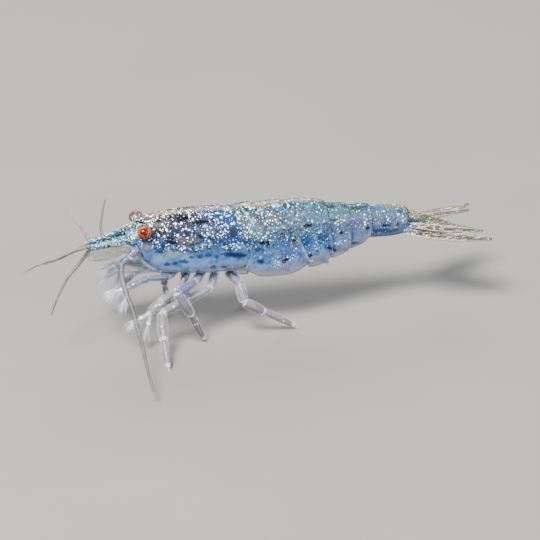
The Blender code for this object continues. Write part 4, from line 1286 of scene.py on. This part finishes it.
def makeClawedLeg(place, joints, ends):
    look = clawLook
    side = sides[place.split("_")[1]]
    line = [sided(p, side) for p in joints]
    palmEnd, upperTip, lowerTip = (sided(p, side) for p in ends)
    shape, inside, hairs, claw = newShape(), newShape(), newShape(), newShape()
    for k, (girth, taper) in enumerate(zip(look["girths"], look["tapers"])):
        addArticle(shape, inside, line[k], line[k + 1], girth, look["neck"], taper)
    palm = between(line[-1], palmEnd, 8)
    swell = [look["palm"] * (0.55 + 0.45 * math.sin(math.pi * (0.1 + 0.62 * t / 8))) for t in range(9)]
    addSweep(claw, palm, swell, 16, look["palmFlat"], valuesAt=lambda t: {"joint": 0.5 * hump(t, 0, 0.06)})
    addSweep(inside, palm, [look["strand"] * r for r in swell], 10, look["palmFlat"])
    droop = Vector((0, 0, look["droop"]))
    for tip, (reach, row) in zip((upperTip, lowerTip), look["fingers"]):
        end = palmEnd.lerp(tip, reach)
        finger = between(palmEnd, end, 8)
        # Spoon-ended: each finger widens a little before its blunt tip.
        radii = [look["finger"] * (1.15 - 0.6 * t / 8 + 0.25 * hump(t / 8, 0.85, 0.12)) for t in range(9)]
        addSweep(claw, finger, radii, 12, look["fingerFlat"], valuesAt=lambda t: {
            "joint": 0.9 * ease(0.72, 0.95, t)})
        aim = (tip - palmEnd).normalized()
        length, count, radius = look["length"], look["bristles"], look["radius"]
        addTuft(hairs, end, aim, look["spread"], count, length, row, radius, droop)
        aim = (aim + Vector((0, 0, -0.5))).normalized()
        length, count, radius = look["sideLength"] * look["length"], look["sideBristles"], look["sideRadius"]
        for k in look["sideTufts"]:
            addTuft(hairs, finger[k], aim, look["sideSpread"], count, length, row, radius, droop)
    addPiece(f"feeding_leg_{place}_skin", shape, limb, [f"feeding_leg_{place}"])
    addPiece(f"feeding_leg_{place}_core", inside, core, ())
    addPiece(f"claw_{place}_fingers", claw, limb, [f"claw_{place}"])
    addPiece(f"claw_{place}_bristles", hairs, fanHair, ())


maxillipedLook = {
    "line": [(-7.95, 0.58, 4.95), (-9.34, 0.62, 5.02), (-10.80, 0.66, 5.20), (-11.75, 0.66, 4.80)],
    "girths": (0.24, 0.22, 0.17), "tapers": (0.95, 0.95, 0.6), "neck": 0.82,
    # Its hairs hang down and a little forwards.
    "hairs": 44, "hairLength": 0.62, "hairRadius": 0.010, "hairForwards": -0.45, "hairBend": -0.35,
}


def makeMaxilliped(name, side):
    look = maxillipedLook
    line = [sided(p, side) for p in look["line"]]
    shape, hairs = newShape(), newShape()
    for k, (girth, taper) in enumerate(zip(look["girths"], look["tapers"])):
        addArticle(shape, None, line[k], line[k + 1], girth, look["neck"], taper)
        for n in range(look["hairs"]):
            t = (n + 0.5) / look["hairs"]
            aim = Vector((look["hairForwards"], dice.uniform(-0.5, 0.5), -1)).normalized()
            patch = (t, 0.25 * k + 0.1)
            root = line[k].lerp(line[k + 1], t)
            bend = Vector((look["hairBend"], 0, 0))
            addBristle(hairs, root, aim, look["hairLength"], look["hairRadius"], bend, patch)
    addPiece(f"maxilliped_{name}_skin", shape, limb, [f"maxilliped_{name}"])
    addPiece(f"maxilliped_{name}_bristles", hairs, hair, ())


# Each feeler's radius at its root and tip, its material, its number of rings, and its line.
lashes = {
    "antennule_upper_left": (0.125, 0.035, lash, 96, [
        (-12.55, 0.45, 7.20), (-13.61, 0.90, 7.26), (-15.06, 1.60, 7.20), (-16.54, 2.40, 7.35),
        (-17.96, 3.20, 7.27),
    ]),
    "antennule_lower_left": (0.130, 0.045, lash, 96, [
        (-12.60, 0.40, 6.92), (-13.55, 0.70, 5.98), (-14.26, 1.00, 5.41), (-14.85, 1.30, 4.62),
        (-15.22, 1.50, 4.02), (-15.69, 1.80, 3.07),
    ]),
    "antennule_upper_right": (0.10, 0.030, lash, 96, [
        (-12.50, 0.48, 7.20), (-12.90, 1.20, 7.94), (-13.33, 1.90, 8.40), (-13.71, 2.60, 8.78),
    ]),
    "antennule_lower_right": (0.085, 0.030, lash, 96, [
        (-12.60, 0.42, 6.92), (-13.30, 1.00, 6.25), (-14.17, 1.60, 5.44), (-15.21, 2.40, 4.70),
    ]),
    "antenna_left": (0.22, 0.09, clearLash, 150, [
        (-10.72, 1.40, 5.96), (-10.83, 1.90, 5.51), (-10.80, 2.80, 4.81), (-10.68, 3.90, 4.20),
        (-10.61, 5.20, 3.32), (-10.58, 6.60, 2.49), (-10.71, 8.60, 1.61), (-10.70, 10.10, 0.99),
    ]),
    "antenna_right": (0.13, 0.06, clearLash, 150, [
        (-10.72, 1.40, 6.04), (-11.02, 2.10, 6.25), (-11.06, 2.80, 6.42), (-10.84, 3.90, 6.46),
        (-10.50, 5.00, 6.39), (-10.04, 6.50, 6.28), (-9.53, 8.00, 6.11),
    ]),
}


def makeLash(name, thick, thin, stuff, count, points):
    side = sides[name.split("_")[-1]]
    shape = newShape()
    # Every feeler is a string of short rings, each a little wider at its far end.
    radii = [(thick + (thin - thick) * (k / (count - 1)) ** 0.8) * (1 + 0.05 * (k % 3)) for k in range(count)]
    radii[-1] = 0.3 * thin
    addSweep(shape, along([sided(p, side) for p in points], count), radii, 10)
    addPiece(f"{name}_lash", shape, stuff, [name])


antennuleLook = {
    "line": [(-9.55, 0.44, 7.42), (-11.05, 0.40, 7.18), (-11.85, 0.40, 7.10), (-12.58, 0.40, 7.04)],
    "girths": (0.37, 0.29, 0.25), "waist": 0.22, "rim": 0.14, "flat": 0.85,
    "bristles": 14, "length": 0.30, "spread": 0.5, "radius": 0.009,
    # A pointed scale stands at the outer side of each stalk's root.
    "spine": [(-10.05, 0.62, 7.22), (-10.6, 0.76, 7.20), (-11.3, 0.72, 7.16)], "spineRadius": 0.13,
    "spineTaper": 0.0125,
}
antennaBaseLook = {
    "line": [(-9.42, 1.02, 6.90), (-10.15, 1.22, 6.42), (-10.74, 1.36, 5.98)],
    "girths": (0.34, 0.27), "waist": 0.24, "rim": 0.12, "core": 0.66,
}


def stalkRadii(girth, waist, rim):
    # Narrow by waist at both ends, and standing out by rim at the far one.
    shares = [t / 10 for t in range(11)]
    return [girth * (1 - waist + waist * math.sin(math.pi * t) + rim * ease(0.75, 0.95, t)) for t in shares]


def makeStalks(name, side):
    look = antennuleLook
    shape, hairs = newShape(), newShape()
    stalk = [sided(p, side) for p in look["line"]]
    for k, girth in enumerate(look["girths"]):
        radii = stalkRadii(girth, look["waist"], look["rim"])
        addSweep(shape, between(stalk[k], stalk[k + 1], 10), radii, 18, look["flat"], valuesAt=lambda t: {
            "high": 0.82, "bright": 0.9, "lip": 0.7 * ease(0.86, 1, t)})
        aim = Vector((-0.8, 0.25 * side, 0.2)).normalized()
        count, length, row = look["bristles"], look["length"], 0.2 + 0.2 * k
        addTuft(hairs, stalk[k + 1], aim, look["spread"], count, length, row, look["radius"])
    spine = along([sided(p, side) for p in look["spine"]], 10)
    radii = [look["spineRadius"] - look["spineTaper"] * k for k in range(10)]
    addSweep(shape, spine, radii, 10, 0.5, valuesAt=lambda t: {"high": 0.8, "lip": 0.5})
    addPiece(f"antennule_{name}_stalk", shape, solidShell, [f"antennule_{name}"])
    addPiece(f"antennule_{name}_bristles", hairs, hair, ())
    look = antennaBaseLook
    base, inside = newShape(), newShape()
    line = [sided(p, side) for p in look["line"]]
    for k, girth in enumerate(look["girths"]):
        steps = between(line[k], line[k + 1], 10)
        radii = stalkRadii(girth, look["waist"], look["rim"])
        addSweep(base, steps, radii, 18, valuesAt=lambda t: {"joint": 0.6 * ease(0.90, 1, t)})
        addSweep(inside, steps[1:-1], [look["core"] * r for r in radii[1:-1]])
    addPiece(f"antenna_base_{name}_core", inside, core, ())
    addPiece(f"antenna_base_{name}_stalk", base, limb, [f"antenna_base_{name}"])


for place, joints in walkingLegs.items():
    makeWalkingLeg(place, joints)
for place, (joints, ends) in clawedLegs.items():
    makeClawedLeg(place, joints, ends)
for name, side in sides.items():
    makeMaxilliped(name, side)
for name, values in lashes.items():
    makeLash(name, *values)
for name, side in sides.items():
    makeStalks(name, side)
print("limbs and feelers made")


# Blades: scales, swimmerets and tail fan

# What all blades share: their mesh, thickness and bow across, the ribs' width and height, and how close and
# thick the hairs of the fringe are.
bladeLook = {
    "steps": 34, "columns": 20, "thickness": 0.05, "camber": 0.06, "ribWidth": 0.07, "ribHeight": 0.03,
    "hairSpacing": 0.045, "hairRadius": 0.009, "hairBend": 0.15,
    # Where the fringe starts, and how much of the blade's length it runs.
    "fringeFrom": 0.25, "fringeRun": 0.74,
}
# Each kind: how wide its root is as a share, where it is widest, how its end rounds off from a place on,
# where its ribs lie from -1 to 1, and its fringe.
antennalScale = {
    "root": (-10.0, 1.10, 6.95), "tip": {"left": (-12.95, 1.22, 6.76), "right": (-12.35, 1.22, 6.76)},
    "tilt": 0.35, "width": 1.02, "start": 0.35, "peak": 0.62, "point": (0.45, 2.6, 0.5),
    "ribs": [-0.7, -0.42, -0.1, 0.15, 0.45, 0.72], "fringe": 0.18, "stuff": fin, "hairs": brownHair,
}
swimmeret = {
    # How far its root lies off the middle line, past its own half-width, and over the belly's edge.
    "off": 0.05, "over": 0.62,
    "start": 0.7, "peak": 0.62, "point": (0.45, 2.6, 0.5), "ribs": [0], "stuff": leaf, "hairs": fanHair,
}
# Each pair's place along the belly, length, width, slope down and back, and fringe.
swimmerets = [
    (-2.35, 1.90, 0.70, 33, 0.22), (-0.35, 1.90, 0.70, 33, 0.22), (2.35, 1.90, 0.62, 30, 0.30),
    (4.15, 1.45, 0.48, 28, 0.30), (5.55, 0.90, 0.34, 30, 0.30),
]
fanBlade = {
    "tilt": 0.10, "start": 0.5, "peak": 0.40, "point": (0.40, 1.6, 0.9), "fringe": 0.16,
    "stuff": tailFin, "hairs": brownHair,
}
# Each blade of the fan: root, tip, width, a rib that is mirrored on the other side and one that isn't.
fanBlades = {
    "outer": ((9.50, 0.62, 5.36), (14.95, 2.68, 4.98), 1.50, -0.62, 0.05),
    "inner": ((9.50, 0.42, 5.78), (14.62, 1.62, 5.14), 1.20, 0, 0),
}
# The short joint that carries both blades of a side.
fanRoot = {"line": [(9.25, 0.50, 5.48), (9.75, 0.66, 5.44), (10.35, 0.84, 5.36)], "girth": 0.30, "flat": 0.8}


def makeBlade(node, root, tip, face, look):
    # A thin leaf with ribs down its length and a fringe of hairs.
    long = (tip - root).normalized()
    across = face.cross(long).normalized()
    out = long.cross(across)
    length, width = (tip - root).length, look["width"]
    shape, edging, rows = newShape(), newShape(), []
    roundFrom, roundPower, endPower = look["point"]

    def halfWide(t):
        swell = look["start"] + (1 - look["start"]) * math.sin(math.pi * min(1, t / look["peak"]) / 2)
        end = max(0, (t - roundFrom) / (1 - roundFrom)) ** roundPower
        return 0.5 * width * swell * max(0, 1 - end) ** endPower

    for i in range(bladeLook["steps"] + 1):
        t = min(0.998, i / bladeLook["steps"])
        row = []
        for j in range(bladeLook["columns"] + 1):
            v = -1 + 2 * j / bladeLook["columns"]
            rib = max(hump(v, r, bladeLook["ribWidth"]) for r in look["ribs"]) * (1 - ease(0.8, 1, t))
            bow = bladeLook["camber"] * (1 - v * v) * width + bladeLook["ribHeight"] * rib
            bow += 0.05 * width * math.sin(2.6 * t) * (1 - t)
            p = root + long * (length * t) + across * (halfWide(t) * v) + out * bow
            row.append(addPoint(shape, p, rib=max(rib, 0.75 * ease(0.86, 1, abs(v))), far=t))
        rows.append(row)
    addGrid(shape, rows)
    addPiece(f"{node}_blade", shape, look["stuff"], [node], thickness=bladeLook["thickness"])
    count = int(length / bladeLook["hairSpacing"])
    for side in (-1, 1):
        for n in range(count):
            t = bladeLook["fringeFrom"] + bladeLook["fringeRun"] * (n + 0.5) / count
            p = root + long * (length * t) + across * (halfWide(t) * side)
            aim = (long * (0.55 + 1.1 * ease(0.6, 1, t)) + across * side * 0.8).normalized()
            reach = look["fringe"] * dice.uniform(0.75, 1) * (0.6 + 0.4 * ease(0.3, 0.9, t))
            patch = (t * 0.96 + 0.02, 0.25 if side < 0 else 0.75)
            bend = long * bladeLook["hairBend"]
            addBristle(edging, p, aim, reach, bladeLook["hairRadius"], bend, patch)
    addPiece(f"{node}_blade_fringe", edging, look["hairs"], ())


def makeAntennalScale(name, side):
    look = antennalScale
    face = Vector((0, look["tilt"] * side, 0.94))
    makeBlade(f"antennal_scale_{name}", sided(look["root"], side), sided(look["tip"][name], side), face, look)


def makeSwimmeret(number, name, side, x, length, width, pitch, fringe):
    slope = math.radians(pitch)
    over = smooth(trunkLines["bellyEdge"], x) + swimmeret["over"]
    root = Vector((x, side * (0.5 * width + swimmeret["off"]), over))
    tip = root + Vector((math.cos(slope), 0, -math.sin(slope))) * length
    face = Vector((math.sin(slope), 0, math.cos(slope)))
    look = {**swimmeret, "width": width, "fringe": fringe}
    makeBlade(f"swimmeret_{number}_{name}", root, tip, face, look)


def makeTailFan(name, side):
    face = Vector((0, fanBlade["tilt"] * side, 1))
    for which, (root, tip, width, mirrored, fixed) in fanBlades.items():
        look = {**fanBlade, "width": width, "ribs": [mirrored * side, fixed]}
        makeBlade(f"tail_fan_{which}_{name}", sided(root, side), sided(tip, side), face, look)
    knuckle = newShape()
    line = along([sided(p, side) for p in fanRoot["line"]], 12)
    radii = [fanRoot["girth"] * math.sin(math.pi * (0.22 + 0.70 * k / 11)) ** 0.6 for k in range(12)]
    addSweep(knuckle, line, radii, 16, fanRoot["flat"], valuesAt=lambda t: {
        "high": 0.45, "bright": 0.75, "rose": 0.5 * t, "lip": ease(0.6, 1, t)})
    addPiece(f"tail_fan_root_{name}", knuckle, solidShell, ())


telsonLook = {
    "root": (9.60, 0, 6.26), "tip": (13.0, 0, 4.98), "spans": 24, "count": 20,
    # Half-width and half-thickness at the root, and how much of each is gone at the tip.
    "wide": (0.53, 0.27), "thick": (0.44, 0.30), "ridge": 0.02,
    # Spines across its end, of two lengths in turn, and short ones in pairs along its back.
    "endSpines": 14, "endLengths": (0.30, 0.48), "endRadius": 0.012, "endHalf": 0.20,
    "backSpines": (0.45, 0.60, 0.75, 0.88), "backLength": 0.16, "backRadius": 0.016,
}


def makeTelson():
    look = telsonLook
    root, tip = Vector(look["root"]), Vector(look["tip"])

    def plateAt(t, a):
        centre = root.lerp(tip, t)
        wide = (look["wide"][0] - look["wide"][1] * t) * (1 - 0.35 * ease(0.93, 1, t))
        thick = (look["thick"][0] - look["thick"][1] * t) * (1 - 0.5 * ease(0.93, 1, t))
        y, z = wide * math.sin(a), thick * math.cos(a)
        ridge = look["ridge"] * hump(abs(math.sin(a)), 0.55, 0.12) if z > 0 else 0
        return Vector((centre.x + 0.3 * z, y, centre.z + z + ridge)), {
            "high": 0.75 + 0.24 * math.cos(a), "lip": ease(0.94, 1, t), "bright": 0.85 - 0.3 * t,
            # On the plate's top, honey and gold are a painted golden highlight, partly over gold colour.
            "honey": 0.95 * ease(0.1, 0.8, z / thick) * (1 - ease(0.6, 0.9, t)),
            "gold": (0.35 + 0.5 * (1 - ease(0.15, 0.40, t))) * ease(0.3, 0.9, z / thick),
            "olive": 0.9 * ease(0.05, 0.35, t),
        }

    shape, hairs = newShape(), newShape()
    addRings(shape, look["spans"], look["count"], plateAt)
    addPiece("telson_blade", shape, solidShell, ["telson"])
    count, radius = look["endSpines"], look["endRadius"]
    for n in range(count):
        y = -look["endHalf"] + 2 * look["endHalf"] * n / (count - 1)
        aim = Vector((1, 0.8 * y, -0.36)).normalized()
        end, length = tip + Vector((-0.04, y, 0)), look["endLengths"][n % 2]
        addBristle(hairs, end, aim, length, radius, Vector((0, 0, 0.05)), (n / count, 0.5))
    for t in look["backSpines"]:
        for side in (-1, 1):
            p = root.lerp(tip, t) + Vector((0, side * (0.36 - 0.18 * t), 0.24 - 0.14 * t))
            aim = Vector((0.9, 0.1 * side, 0.2)).normalized()
            length, radius = look["backLength"], look["backRadius"]
            addBristle(hairs, p, aim, length, radius, Vector((0, 0, -0.1)), (t, 0.3))
    addPiece("telson_bristles", hairs, brownHair, ())


for name, side in sides.items():
    makeAntennalScale(name, side)
    for k, values in enumerate(swimmerets):
        makeSwimmeret(k + 1, name, side, *values)
    makeTailFan(name, side)
makeTelson()
print("blades made")


# Floor, light and camera

stageLook = {
    "floor": {"clouds": {"grain": (9, 3, 0.5, 1)}, "coats": {"body": ["#605F5C", ("#5C5A57", "grain")]}},
    "floorHalf": 2.0, "floorRoughness": 0.7,
    # Each light's place in metres, size, power and colour.
    "lights": {
        "key": ((-0.15, -0.12, 0.34), 0.14, 9.2, "#FFFFFF"),
        "fill": ((0.20, -0.30, 0.20), 0.30, 2.4, "#EAF1FF"),
        "rim": ((0.05, 0.28, 0.22), 0.16, 1.0, "#FFFFFF"),
    },
    # The height in millimetres that the lights aim at.
    "lightsAim": 4, "sky": "#E6E9EE", "skyStrength": 0.62,
}
# Lens and sensor, how much the picture spans at the animal and the height it aims at, in millimetres, and the
# camera's turn and rise in degrees.
cameraLook = {"lens": 300, "sensor": 36, "span": 36.72, "turn": -15.5, "rise": 28, "aim": 3.384}


def makeStage():
    material, tree, place, shares = startMaterial("painted studio floor")
    mixPigment(tree, place, shares, stageLook["floor"])
    inputs = {"Base Color": shares["body"], "Roughness": stageLook["floorRoughness"]}
    paint = add(tree, "BsdfPrincipled", inputs)
    add(tree, "OutputMaterial", {0: paint})
    mesh = bpy.data.meshes.new("floor")
    half = stageLook["floorHalf"]
    corners = [(-half, -half, 0), (half, -half, 0), (half, half, 0), (-half, half, 0)]
    mesh.from_pydata(corners, [], [(0, 1, 2, 3)])
    mesh.materials.append(material)
    floor = bpy.data.objects.new("floor", mesh)
    bpy.context.scene.collection.objects.link(floor)


def makeLight(name, place, size, power, colour):
    data = bpy.data.lights.new(name, "AREA")
    data.size, data.energy = size, power
    data.color = hexColour(colour)[:3]
    made = bpy.data.objects.new(name, data)
    made.location = place
    towards = shift + Vector((0, 0, stageLook["lightsAim"] * mm)) - Vector(place)
    made.rotation_euler = towards.to_track_quat("-Z", "Y").to_euler()
    bpy.context.scene.collection.objects.link(made)


def makeCamera():
    look = cameraLook
    data = bpy.data.cameras.new("camera")
    data.lens, data.sensor_width = look["lens"], look["sensor"]
    data.clip_start, data.clip_end = 0.01, 10
    made = bpy.data.objects.new("camera", data)
    turn, rise = math.radians(look["turn"]), math.radians(look["rise"])
    back = Vector((math.sin(turn) * math.cos(rise), -math.cos(turn) * math.cos(rise), math.sin(rise)))
    target = shift + Vector((0, 0, look["aim"] * mm))
    made.location = target + back * (look["span"] * mm * look["lens"] / look["sensor"])
    made.rotation_euler = (-back).to_track_quat("-Z", "Y").to_euler()
    bpy.context.scene.collection.objects.link(made)
    bpy.context.scene.camera = made


makeStage()
for name, values in stageLook["lights"].items():
    makeLight(name, *values)
world = bpy.data.worlds.new("studio")
world.use_nodes = True
sky = world.node_tree.nodes["Background"].inputs
sky["Color"].default_value = hexColour(stageLook["sky"])
sky["Strength"].default_value = stageLook["skyStrength"]
bpy.context.scene.world = world
makeCamera()
bpy.context.view_layer.update()
print("stage made")
